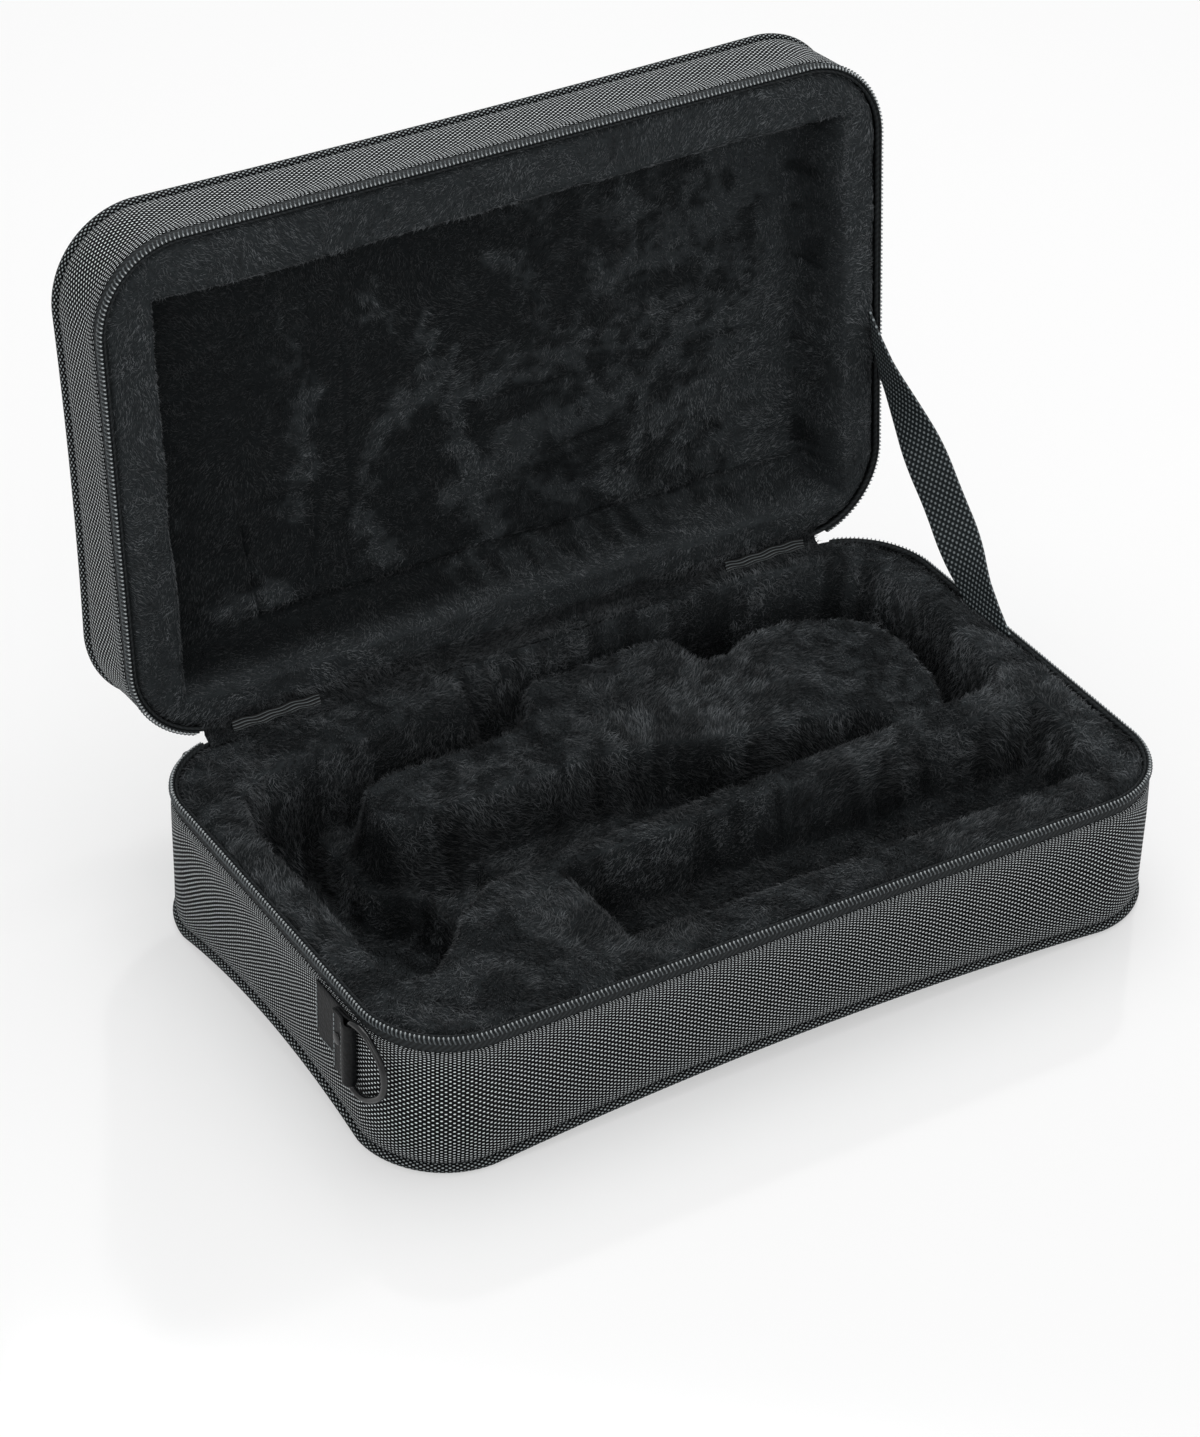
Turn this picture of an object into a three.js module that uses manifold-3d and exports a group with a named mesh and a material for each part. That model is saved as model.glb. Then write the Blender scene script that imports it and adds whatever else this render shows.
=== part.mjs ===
// Soft cornet case: two zipped halves of foam under woven nylon, lined with plush.
// Millimetres, +Z up. The origin is the centre of the base's underside.
// The lid stands open on its stay strap, as the case is shown.
import * as THREE from "three";
import { mergeVertices } from "three/addons/utils/BufferGeometryUtils.js";
import Module from "manifold-3d";

const wasm = await Module();
wasm.setup();

// Outer sizes of the case
const caseLength = 470;
const caseDepth = 285;
const baseHeight = 84.7;
const lidHeight = 53.9;
const cornerRadius = 49;
const openDegrees = 95.3;
const closedGap = 1.5;

// The seam at the foot of each wall rises between the corners
const baseFrontRise = 8.9;
const baseSideRise = 10.9;
const lidRise = 3.2;

// Cloth, zip and piping
const gap = 0.3;
const coverThickness = 2;
const pipingDiameter = 5;
const pipingProud = 1.3;
const zipBand = 9;
const tapeThickness = 1;
const tapeInset = 1;
const coilDiameter = 2.6;
const coilHeight = 3.9;
const coilStandUp = 0.55;
const bindingWidth = 1.6;
const bindingHeight = 2.6;
const bindingDrop = 0.4;

// The outer panel of each half, flat in the middle and turned up to its seam
const panelFlatInset = 36;
const panelEdgeLift = 1.4;
const panelBendShares = [
  [0.62, 0.08],
  [0.3, 0.35],
];

// Foam and plush
const linerThickness = 3;
const linerInset = 4.2;
const pipingClearance = 0.9;
const baseFloor = 12.5;
const cornerWall = 10;
const lidRecessDepth = 35;
const recessRound = 9;
const cornerShare = 0.45;

// Plush borders round the hollows
const baseBorderSide = 26;
const baseBorderFront = 30.5;
const baseBorderRear = 12;
const lidBorderSide = 27;
const lidBorderFront = 34;
const lidBorderRear = 24;

// Depths of the hollows below the rim, as shares of the bell pocket's depth
const islandDropShare = 0.1385;
const channelShare = 0.651;
const troughShare = 0.485;

// Stay strap between the lid and the base, on the right
const strapWidth = 30;
const strapThickness = 1.4;
const strapTail = 18;
const strapBaseY = 33;
const strapLidReach = 111;
const strapTwistShares = [0, 0.13, 0.09, 0.12, 0.02, 0];

// Hinge cloth and its two ribbons
const hingeClothThickness = 1.2;
const ribbonLength = 52;
const ribbonThickness = 0.8;
const ribbonPlaceShare = 0.83;
const ribbonSetIn = 1;

// D-rings on the end walls
const ringWire = 3.6;
const ringBarLength = 39;
const ringReach = 29;
const ringDrop = 28;
const ringFromFront = 50.5;
const ringLeanDegrees = 7;
const ringSteps = 14;
const loopThickness = 1.6;
const loopTail = 15;
const loopSide = 1;
const patchThickness = 1.4;
const patchLength = 34;
const patchHeight = 34.5;
const patchTaper = 5;
const rivetRadius = 3.4;
const rivetHeight = 1.5;

// Zip sliders and their pulls
const sliderWidth = 10;
const sliderHeight = 9;
const sliderThickness = 3.4;
const sliderTaper = 1.5;
const sliderFromEnd = 6;
const sliderDrop = 4.2;
const bailOuter = 3.6;
const bailInner = 2.3;
const bailThickness = 1.6;
const pullWidth = 7;
const pullLength = 25;
const pullThickness = 1.3;
const pullEyeWidth = 3.2;
const pullEyeHeight = 4;
const pullRim = 1.3;
const pullPivotOut = 1.25;

// Facets
const cornerSteps = 6;
const frontSteps = 6;
const sideSteps = 4;
const roundSides = 6;
const overrun = 5;

const halfX = caseLength / 2;
const halfY = caseDepth / 2;
const openAngle = THREE.MathUtils.degToRad(openDegrees);
const hingeY = halfY;
const hingeZ = baseHeight + closedGap;
const foamInset = coverThickness + gap;
const linerGap = linerThickness + gap;
const straightHalfX = halfX - cornerRadius;
const straightHalfY = halfY - cornerRadius;

// Each half is drawn by depth below its own rim, and a frame turns depth into height
const baseFrame = {
  height: baseHeight,
  frontRise: baseFrontRise,
  sideRise: baseSideRise,
  level: (depth) => baseHeight - depth,
};
const lidFrame = {
  height: lidHeight,
  frontRise: lidRise,
  sideRise: lidRise,
  level: (depth) => hingeZ + depth,
};

// Plush cavities of the base, as shares of the lined room from its middle:
// x of half its length, y of its reach to the rear or to the front
const bellFrontShares = [
  [-1, -0.625],
  [-0.971, -0.75],
  [-0.933, -0.777],
  [-0.89, -0.768],
  [-0.794, -0.607],
  [-0.737, -0.464],
  [-0.622, -0.339],
];
const bellRearShares = [
  [-0.885, 0.751],
  [-0.957, 0.659],
  [-1, 0.475],
];
const ridgeShares = [
  [-0.526, -0.321],
  [-0.239, -0.286],
  [0.335, -0.25],
  [0.89, -0.196],
];
const channelRearShares = [
  [0.957, -0.161],
  [1, -0.054],
  [1, 0.651],
  [0.981, 0.805],
  [0.919, 0.904],
  [0.789, 0.95],
  [0.574, 0.981],
  [0.287, 1],
  [-0.23, 1],
  [-0.268, 0.95],
  [-0.273, 0.812],
  [-0.297, 0.782],
  [-0.718, 0.782],
];
const islandShares = [
  [-0.699, 0.383],
  [-0.684, 0.307],
  [-0.632, 0.276],
  [-0.057, 0.284],
  [0.096, 0.199],
  [0.287, 0.1],
  [0.478, 0.069],
  [0.612, 0.046],
  [0.641, -0.036],
  [0.651, -0.268],
  [0.823, -0.268],
  [0.842, -0.054],
  [0.88, 0.107],
  [0.9, 0.368],
  [0.88, 0.552],
  [0.813, 0.674],
  [0.718, 0.743],
  [0.598, 0.766],
  [0.517, 0.736],
  [0.455, 0.674],
  [0.383, 0.69],
  [0.378, 0.812],
  [0.354, 0.881],
  [0.287, 0.912],
  [-0.048, 0.912],
  [-0.096, 0.858],
  [-0.115, 0.751],
  [-0.191, 0.659],
  [-0.287, 0.636],
  [-0.574, 0.636],
  [-0.66, 0.598],
  [-0.694, 0.506],
];
const bellInnerShares = [
  [-0.622, 0.15],
  [-0.727, 0.307],
  [-0.727, 0.76],
];
const flareShares = [
  [-0.65, -0.33],
  [-0.526, -0.31],
  [-0.43, -0.3],
  [-0.43, 0.275],
  [-0.65, 0.275],
];
const troughShares = [
  [-0.431, -1],
  [0.986, -1],
  [0.986, -0.42],
  [-0.431, -0.42],
];
const ledgeShares = [
  [-1.1, 0.46],
  [-0.96, 0.46],
  [-0.84, 0.74],
  [-0.285, 0.74],
  [-0.285, 1.1],
  [-1.1, 1.1],
];
const outsideShare = 1.1;

// Geometry and solids

function signedVolume(geometry) {
  const position = geometry.attributes.position;
  const index = geometry.index;
  const corners = [new THREE.Vector3(), new THREE.Vector3(), new THREE.Vector3()];
  let total = 0;
  for (let i = 0; i < index.count; i += corners.length) {
    corners.forEach((corner, k) => corner.fromBufferAttribute(position, index.getX(i + k)));
    total += corners[0].dot(corners[1].clone().cross(corners[2]));
  }
  return total;
}

function facingOut(geometry) {
  if (signedVolume(geometry) < 0) {
    const turned = Array.from(geometry.index.array).reverse();
    geometry.setIndex(turned);
  }
  return geometry;
}

function indexed(geometry) {
  const bare = geometry.clone();
  bare.deleteAttribute("normal");
  bare.deleteAttribute("uv");
  const merged = mergeVertices(bare);
  const index = merged.index.array;
  const kept = [];
  for (let i = 0; i < index.length; i += 3) {
    const [a, b, c] = index.slice(i, i + 3);
    if (a !== b && b !== c && c !== a) {
      kept.push(a, b, c);
    }
  }
  merged.setIndex(kept);
  return facingOut(merged);
}

function fromTables(vertices, triangles) {
  const geometry = new THREE.BufferGeometry();
  geometry.setAttribute("position", new THREE.Float32BufferAttribute(vertices.flat(), 3));
  geometry.setIndex(triangles.flat());
  return facingOut(geometry);
}

function solid(geometry) {
  const merged = indexed(geometry);
  const mesh = new wasm.Mesh({
    numProp: 3,
    vertProperties: new Float32Array(merged.attributes.position.array),
    triVerts: new Uint32Array(merged.index.array),
  });
  return new wasm.Manifold(mesh);
}

function geometryOf(manifold) {
  const mesh = manifold.getMesh();
  const geometry = new THREE.BufferGeometry();
  geometry.setAttribute("position", new THREE.Float32BufferAttribute(mesh.vertProperties, mesh.numProp));
  geometry.setIndex(Array.from(mesh.triVerts));
  return geometry;
}

function joined(solids) {
  return solids.reduce((whole, part) => whole.add(part));
}

function without(whole, cuts) {
  return cuts.reduce((rest, cut) => rest.subtract(cut), whole);
}

// Outline of the case in plan, drawn in from its edge, with the rise of the foot seam

function outline(inset) {
  const reach = [halfX - inset, halfY - inset];
  const radius = cornerRadius - inset;
  const points = [];
  for (const [nx, ny] of [[1, 0], [0, 1], [-1, 0], [0, -1]]) {
    const [tx, ty] = [-ny, nx];
    const isEnd = nx !== 0;
    const run = isEnd ? straightHalfY : straightHalfX;
    const steps = isEnd ? sideSteps : frontSteps;
    for (let i = 0; i < steps; i++) {
      const share = -1 + (2 * i) / steps;
      const x = nx * reach[0] + tx * run * share;
      const y = ny * reach[1] + ty * run * share;
      points.push({ x, y, isEnd, rise: 1 - share * share });
    }
    const centre = [(nx + tx) * straightHalfX, (ny + ty) * straightHalfY];
    for (let i = 0; i < cornerSteps; i++) {
      const turn = (i / cornerSteps) * (Math.PI / 2);
      const x = centre[0] + radius * (nx * Math.cos(turn) + tx * Math.sin(turn));
      const y = centre[1] + radius * (ny * Math.cos(turn) + ty * Math.sin(turn));
      points.push({ x, y, isEnd, rise: 0 });
    }
  }
  return points;
}

const outlineCount = 2 * (sideSteps + frontSteps) + 4 * cornerSteps;
const zipStart = sideSteps + cornerSteps + frontSteps + 1;
const zipSpan = outlineCount - frontSteps - 2;

function ringPoints(frame, inset, depthOf) {
  return outline(inset).map((point) => {
    const rise = point.rise * (point.isEnd ? frame.sideRise : frame.frontRise);
    return [point.x, point.y, frame.level(depthOf(rise))];
  });
}

// Triangles that fill a flat outline and turn the same way round as its points
function capTriangles(points) {
  const triangles = THREE.ShapeUtils.triangulateShape(points, []);
  const around = THREE.ShapeUtils.area(points);
  const across = THREE.ShapeUtils.area(triangles[0].map((i) => points[i]));
  return around * across > 0 ? triangles : triangles.map(([a, b, c]) => [c, b, a]);
}

// A band round the case: its section is a list of [inset, depth for a given rise]
function band(frame, section, start = 0, span = outlineCount) {
  const rings = section.map(([inset, depthOf]) => ringPoints(frame, inset, depthOf));
  const sides = section.length;
  const closed = span === outlineCount;
  const stations = closed ? span : span + 1;
  const vertices = [];
  for (let i = 0; i < stations; i++) {
    rings.forEach((ring) => vertices.push(ring[(start + i) % outlineCount]));
  }
  const triangles = [];
  for (let i = 0; i < span; i++) {
    const here = i * sides;
    const next = ((i + 1) % stations) * sides;
    for (let k = 0; k < sides; k++) {
      const after = (k + 1) % sides;
      triangles.push([here + k, next + k, next + after]);
      triangles.push([here + k, next + after, here + after]);
    }
  }
  if (!closed) {
    const flat = section.map(([inset, depthOf]) => new THREE.Vector2(inset, depthOf(0)));
    const last = span * sides;
    for (const [a, b, c] of capTriangles(flat)) {
      triangles.push([a, b, c]);
      triangles.push([last + c, last + b, last + a]);
    }
  }
  return fromTables(vertices, triangles);
}

// A body built up from rings and closed by a flat cap at each end
function stack(frame, rings) {
  const loops = rings.map(([inset, depthOf]) => ringPoints(frame, inset, depthOf));
  const vertices = loops.flat();
  const triangles = [];
  for (let level = 0; level + 1 < loops.length; level++) {
    for (let i = 0; i < outlineCount; i++) {
      const after = (i + 1) % outlineCount;
      const [low, high] = [level * outlineCount, (level + 1) * outlineCount];
      triangles.push([low + i, low + after, high + after]);
      triangles.push([low + i, high + after, high + i]);
    }
  }
  const last = (loops.length - 1) * outlineCount;
  for (let i = 1; i + 1 < outlineCount; i++) {
    triangles.push([0, i + 1, i]);
    triangles.push([last, last + i, last + i + 1]);
  }
  return fromTables(vertices, triangles);
}

function roundSection(inset, depthOf, radius, reach = radius) {
  return Array.from({ length: roundSides }, (_, k) => {
    const turn = (k / roundSides) * 2 * Math.PI;
    const across = radius * Math.cos(turn);
    const down = reach * Math.sin(turn);
    return [inset + across, (rise) => depthOf(rise) + down];
  });
}

function boxSection(insetFrom, insetTo, depthFrom, depthTo) {
  return [
    [insetFrom, depthFrom],
    [insetTo, depthFrom],
    [insetTo, depthTo],
    [insetFrom, depthTo],
  ];
}

const at = (depth) => () => depth;

// Plan outlines

function rounded(points, radius) {
  const shape = [];
  points.forEach((point, i) => {
    const before = points[(i + points.length - 1) % points.length];
    const after = points[(i + 1) % points.length];
    const back = before.clone().sub(point);
    const ahead = after.clone().sub(point);
    const cut = Math.min(radius, cornerShare * back.length(), cornerShare * ahead.length());
    const start = point.clone().addScaledVector(back.normalize(), cut);
    const end = point.clone().addScaledVector(ahead.normalize(), cut);
    shape.push(...new THREE.QuadraticBezierCurve(start, point, end).getPoints(2));
  });
  return shape;
}

function grown(points, distance) {
  return points.map((point, i) => {
    const before = points[(i + points.length - 1) % points.length];
    const after = points[(i + 1) % points.length];
    const first = point.clone().sub(before).normalize();
    const second = after.clone().sub(point).normalize();
    const normal = new THREE.Vector2(first.y + second.y, -first.x - second.x).normalize();
    const spread = Math.max(normal.dot(new THREE.Vector2(first.y, -first.x)), 1 / 2);
    return point.clone().addScaledVector(normal, distance / spread);
  });
}

function prism(points, from, to) {
  const low = Math.min(from, to);
  const height = Math.abs(to - from);
  const geometry = new THREE.ExtrudeGeometry(new THREE.Shape(points), {
    depth: height,
    bevelEnabled: false,
    curveSegments: 4,
  });
  return solid(geometry.translate(0, 0, low));
}

function planOutline(inset) {
  return outline(inset).map((point) => new THREE.Vector2(point.x, point.y));
}

function rectangle(left, right, front, rear) {
  return [
    new THREE.Vector2(left, front),
    new THREE.Vector2(right, front),
    new THREE.Vector2(right, rear),
    new THREE.Vector2(left, rear),
  ];
}

// Shells, covers, piping and zip of one half

function shellRings(frame) {
  const panelTop = coverThickness + gap;
  const seamDepth = frame.height - panelEdgeLift - panelTop;
  const foot = pipingDiameter + pipingClearance;
  const inner = pipingDiameter - pipingProud + pipingClearance;
  const bends = panelBendShares.map(([insetShare, liftShare]) => [
    insetShare * panelFlatInset,
    (rise) => frame.height - panelTop - liftShare * (rise + panelEdgeLift),
  ]);
  return [
    [foamInset, at(linerGap)],
    [foamInset, (rise) => frame.height - foot - coverThickness - rise],
    [inner, (rise) => frame.height - foot - rise],
    [inner, (rise) => seamDepth - rise],
    ...bends.reverse(),
    [panelFlatInset, at(frame.height - panelTop)],
  ];
}

function outerPanel(frame) {
  const edge = pipingDiameter - pipingProud + gap;
  const lifts = [[panelFlatInset, 0], ...panelBendShares.map(([i, l]) => [i * panelFlatInset, l]), [edge, 1]];
  const ring = ([inset, share], thickness) => [
    inset,
    (rise) => frame.height - thickness - share * (rise + panelEdgeLift),
  ];
  const outside = lifts.map((lift) => ring(lift, 0));
  const inside = lifts.map((lift) => ring(lift, coverThickness)).reverse();
  return stack(frame, [...outside, ...inside]);
}

function sideCover(frame) {
  const foot = (rise) => frame.height - pipingDiameter - gap - rise;
  return band(frame, boxSection(0, coverThickness, at(zipBand), foot));
}

function piping(frame) {
  const radius = pipingDiameter / 2;
  return band(frame, roundSection(radius - pipingProud, (rise) => frame.height - radius - rise, radius));
}

function zipTape(frame) {
  const top = coilHeight / 2 - coilStandUp;
  const section = boxSection(tapeInset, tapeInset + tapeThickness, at(top), at(zipBand - gap));
  return band(frame, section, zipStart, zipSpan);
}

function zipCoil(frame) {
  const radius = coilDiameter / 2;
  const reach = coilHeight / 2;
  const section = roundSection(tapeInset - gap - radius, at(reach - coilStandUp), radius, reach);
  return band(frame, section, zipStart, zipSpan);
}

function binding(frame) {
  const from = foamInset;
  const section = boxSection(from, from + bindingWidth, at(bindingDrop), at(bindingDrop + bindingHeight));
  return band(frame, section, zipStart, zipSpan);
}

// The strap, straight in side view, with a slight twist in its free length

const strapX = halfX - foamInset - bindingWidth - gap - strapThickness / 2;
const lidTurn = new THREE.Matrix4()
  .makeTranslation(0, hingeY, hingeZ)
  .multiply(new THREE.Matrix4().makeRotationX(-openAngle))
  .multiply(new THREE.Matrix4().makeTranslation(0, -hingeY, -hingeZ));
const strapFoot = new THREE.Vector3(strapX, strapBaseY, baseHeight);
const strapHead = new THREE.Vector3(strapX, hingeY - strapLidReach, hingeZ).applyMatrix4(lidTurn);
const strapAlong = strapHead.clone().sub(strapFoot).normalize();

function ribbon(from, to, width, thickness, twists) {
  const along = to.clone().sub(from).normalize();
  const across = new THREE.Vector3(1, 0, 0).cross(along).normalize();
  const vertices = [];
  twists.forEach((twist, i) => {
    const centre = from.clone().lerp(to, i / (twists.length - 1));
    const wide = across.clone().applyAxisAngle(along, twist);
    const thick = along.clone().cross(wide);
    for (const [a, b] of [[-1, -1], [1, -1], [1, 1], [-1, 1]]) {
      const corner = centre.clone();
      corner.addScaledVector(wide, (a * width) / 2);
      corner.addScaledVector(thick, (b * thickness) / 2);
      vertices.push(corner.toArray());
    }
  });
  const sides = 4;
  const triangles = [];
  for (let i = 0; i + 1 < twists.length; i++) {
    for (let k = 0; k < sides; k++) {
      const after = (k + 1) % sides;
      const [here, next] = [i * sides, (i + 1) * sides];
      triangles.push([here + k, next + k, next + after]);
      triangles.push([here + k, next + after, here + after]);
    }
  }
  const last = (twists.length - 1) * sides;
  triangles.push([0, 1, 2], [0, 2, 3]);
  triangles.push([last + 2, last + 1, last], [last + 3, last + 2, last]);
  return fromTables(vertices, triangles);
}

function stayStrap() {
  const free = strapHead.distanceTo(strapFoot);
  const steps = 18;
  const whole = free + 2 * strapTail;
  const twists = Array.from({ length: steps + 1 }, (_, i) => {
    const share = ((i / steps) * whole - strapTail - strapWidth / 2) / (free - strapWidth);
    const place = THREE.MathUtils.clamp(share, 0, 1) * (strapTwistShares.length - 1);
    const low = Math.min(Math.floor(place), strapTwistShares.length - 2);
    const mix = THREE.MathUtils.smoothstep(place - low, 0, 1);
    return Math.PI * THREE.MathUtils.lerp(strapTwistShares[low], strapTwistShares[low + 1], mix);
  });
  const from = strapFoot.clone().addScaledVector(strapAlong, -strapTail);
  const to = strapHead.clone().addScaledVector(strapAlong, strapTail);
  return ribbon(from, to, strapWidth, strapThickness, twists);
}

function strapSlot(anchor, sense) {
  const deep = anchor.clone().addScaledVector(strapAlong, -sense * (strapTail + gap));
  const out = anchor.clone().addScaledVector(strapAlong, sense * (strapWidth + overrun));
  return solid(ribbon(deep, out, strapWidth + 2 * gap, strapThickness + 2 * gap, [0, 0]));
}

const baseSlot = strapSlot(strapFoot, 1);
const lidSlot = solid(
  geometryOf(strapSlot(strapHead, -1)).applyMatrix4(lidTurn.clone().invert()),
);

// Base: the lined room, its hollows and the foam pieces that shape them

const roomX = halfX - baseBorderSide;
const roomFront = halfY - baseBorderFront;
const roomRear = halfY - baseBorderRear;

function inRoom([x, y]) {
  return new THREE.Vector2(x * roomX, y * (y < 0 ? roomFront : roomRear));
}

const channelOutline = [...bellFrontShares, ...ridgeShares, ...channelRearShares, ...bellRearShares].map(inRoom);
const bellOutline = [...bellFrontShares, ...bellInnerShares, ...bellRearShares].map(inRoom);
const islandOutline = islandShares.map(inRoom);
const flareOutline = flareShares.map(inRoom);
const troughOutline = rounded(troughShares.map(inRoom), recessRound);
const bellDepth = baseHeight - baseFloor;
const islandDrop = islandDropShare * bellDepth;
const channelDepth = channelShare * bellDepth;
const troughDepth = troughShare * bellDepth;
const flareDepth = (bellDepth + channelDepth) / 2;

function hollow(frame, points, depth, out, top = -overrun) {
  return prism(grown(points, out), frame.level(top), frame.level(depth + out));
}

function baseHollows(out, top) {
  const island = prism(
    grown(islandOutline, -out),
    baseFrame.level(islandDrop + out),
    baseFrame.level(baseHeight + overrun),
  );
  const channel = hollow(baseFrame, channelOutline, channelDepth, out, top);
  return joined([
    channel.subtract(island),
    hollow(baseFrame, flareOutline, flareDepth, out, islandDrop).subtract(island),
    hollow(baseFrame, bellOutline, bellDepth, out, top),
    hollow(baseFrame, troughOutline, troughDepth, out, top),
  ]);
}

const baseFoamCut = baseHollows(linerGap);
const foamTop = baseFrame.level(linerGap);

// The lined room, a little larger than its hollows so that its blocks end at them
function room(out, top) {
  const square = rectangle(-roomX - out, roomX + out, -roomFront - out, roomRear + out);
  const round = planOutline(cornerWall - out);
  return prism(square, baseFloor - out, top).intersect(prism(round, baseFloor - out, top));
}

function baseFoamShell() {
  const body = solid(stack(baseFrame, shellRings(baseFrame)));
  return without(body, [room(linerGap + gap / 2, baseHeight + overrun), baseSlot]);
}

function foamBlock(points, cuts = []) {
  const region = prism(points, 0, baseHeight);
  return without(room(linerGap - gap / 2, foamTop).intersect(region), [...cuts, baseFoamCut]);
}

const ledgeOutline = ledgeShares.map(inRoom);
const islandFoot = baseFrame.level(channelDepth + linerGap);
const ridgeEnd = [outsideShare, ridgeShares.at(-1)[1]];
const frontEdge = [...bellFrontShares, ...ridgeShares, ridgeEnd].map(inRoom);

function beyondEdge(side) {
  return [
    [outsideShare, side * outsideShare],
    [-outsideShare, side * outsideShare],
    [-outsideShare, bellFrontShares[0][1]],
  ].map(inRoom);
}

function dividerBlock() {
  return foamBlock([...frontEdge, ...beyondEdge(-1)]);
}

const behindRidge = [...frontEdge, ...beyondEdge(1)].map(
  (point) => new THREE.Vector2(point.x, point.y + gap),
);

function cradleBlock() {
  const ledge = prism(grown(ledgeOutline, gap), 0, baseHeight);
  const island = prism(grown(islandOutline, gap), islandFoot, baseHeight);
  return foamBlock(behindRidge, [ledge, island]);
}

// The island stands on the floor of the channel and ends short of the ridge
function islandBlock() {
  const top = baseFrame.level(islandDrop + linerGap);
  return prism(grown(islandOutline, -linerGap), islandFoot, top).intersect(prism(behindRidge, 0, top));
}

function baseLiner() {
  const flange = prism(planOutline(linerInset), baseFrame.level(linerThickness), baseHeight);
  const skin = baseHollows(linerThickness, 0);
  return without(flange.add(skin), [baseHollows(0), baseSlot]);
}

// Lid: one shallow recess

const recess = rounded(
  rectangle(
    -halfX + lidBorderSide,
    halfX - lidBorderSide,
    -halfY + lidBorderFront,
    halfY - lidBorderRear,
  ),
  recessRound,
);

function lidFoamShell() {
  const body = solid(stack(lidFrame, shellRings(lidFrame)));
  return without(body, [hollow(lidFrame, recess, lidRecessDepth, linerGap), lidSlot]);
}

function lidLiner() {
  const flange = prism(planOutline(linerInset), lidFrame.level(0), lidFrame.level(linerThickness));
  const skin = hollow(lidFrame, recess, lidRecessDepth, linerThickness, 0);
  return without(flange.add(skin), [hollow(lidFrame, recess, lidRecessDepth, 0), lidSlot]);
}

// Hinge: a cloth strip folded round the hinge line and two ribbons inside it

function alongX(points, length, middleX = 0) {
  const shape = new THREE.Shape(points.map(([y, z]) => new THREE.Vector2(y, z)));
  const geometry = new THREE.ExtrudeGeometry(shape, { depth: length, bevelEnabled: false });
  geometry.translate(0, 0, -length / 2);
  geometry.applyMatrix4(new THREE.Matrix4().makeBasis(
    new THREE.Vector3(0, 1, 0),
    new THREE.Vector3(0, 0, 1),
    new THREE.Vector3(1, 0, 0),
  ));
  return indexed(geometry.translate(middleX, 0, 0));
}

function turnedWithLid(inset, depth) {
  const point = new THREE.Vector3(0, halfY - inset, lidFrame.level(depth)).applyMatrix4(lidTurn);
  return [point.y, point.z];
}

function hingeCloth() {
  const outer = gap;
  const inner = gap + hingeClothThickness;
  const bend = closedGap / 2;
  const points = [
    [halfY - outer, baseFrame.level(zipBand - gap)],
    [halfY - outer, baseHeight - bend],
    turnedWithLid(outer, bend),
    turnedWithLid(outer, zipBand - gap),
    turnedWithLid(inner, zipBand - gap),
    turnedWithLid(inner, bend),
    [halfY - inner, baseHeight - bend + gap],
    [halfY - inner, baseFrame.level(zipBand - gap)],
  ];
  return alongX(points, 2 * straightHalfX);
}

function hingeRibbon() {
  const foot = new THREE.Vector2(halfY - linerInset - ribbonSetIn, baseHeight + gap);
  const head = new THREE.Vector2(...turnedWithLid(linerInset + ribbonSetIn, -gap));
  const along = head.clone().sub(foot).normalize();
  const thick = new THREE.Vector2(-along.y, along.x).multiplyScalar(ribbonThickness);
  const points = [foot, head, head.clone().add(thick), foot.clone().add(thick)];
  return alongX(points.map((point) => point.toArray()), ribbonLength);
}

// D-rings, each in a riveted leather loop over a sewn patch

const loopBore = ringWire / 2 + gap;
const loopRadius = loopBore + loopThickness;
const barOut = gap + loopRadius;
const barY = -halfY + ringFromFront;
const barZ = baseHeight - ringDrop;
const ringHalf = (ringBarLength + ringWire) / 2;
const tailIn = barOut - gap - patchThickness - gap;

// The ring's bar stands on the local z axis and its bow reaches along local x
function dRing() {
  const path = [new THREE.Vector2(0, -ringHalf)];
  for (let i = 0; i <= ringSteps; i++) {
    const turn = Math.PI * (1 / 2 - i / ringSteps);
    path.push(new THREE.Vector2(ringReach * Math.cos(turn), ringHalf * Math.sin(turn)));
  }
  path.pop();
  const radius = ringWire / 2;
  const vertices = [];
  path.forEach((point, i) => {
    const before = path[(i + path.length - 1) % path.length];
    const after = path[(i + 1) % path.length];
    const first = point.clone().sub(before).normalize();
    const second = after.clone().sub(point).normalize();
    const normal = new THREE.Vector2(first.y + second.y, -first.x - second.x).normalize();
    const spread = normal.dot(new THREE.Vector2(first.y, -first.x));
    for (let k = 0; k < roundSides; k++) {
      const turn = (k / roundSides) * 2 * Math.PI;
      const across = (radius * Math.cos(turn)) / spread;
      vertices.push([point.x + normal.x * across, radius * Math.sin(turn), point.y + normal.y * across]);
    }
  });
  const triangles = [];
  for (let i = 0; i < path.length; i++) {
    const here = i * roundSides;
    const next = ((i + 1) % path.length) * roundSides;
    for (let k = 0; k < roundSides; k++) {
      const after = (k + 1) % roundSides;
      triangles.push([here + k, next + k, next + after]);
      triangles.push([here + k, next + after, here + after]);
    }
  }
  return fromTables(vertices, triangles);
}

function circle(radius, steps) {
  return Array.from({ length: steps }, (_, k) => {
    const turn = ((k + 1 / 2) / steps) * 2 * Math.PI;
    return new THREE.Vector2(radius * Math.cos(turn), radius * Math.sin(turn));
  });
}

// The bar's axis is the origin, the wall is towards local x and the tail along local y
function leatherLoop() {
  const half = ringBarLength / 2 - loopSide;
  const tail = rectangle(tailIn - 2 * loopThickness, tailIn, loopBore, loopTail);
  const folded = joined([
    prism(circle(loopRadius, 2 * roundSides), -half, half),
    prism(tail, -half, half),
  ]);
  const bore = prism(circle(loopBore, 2 * roundSides), -half - overrun, half + overrun);
  return folded.subtract(bore);
}

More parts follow.
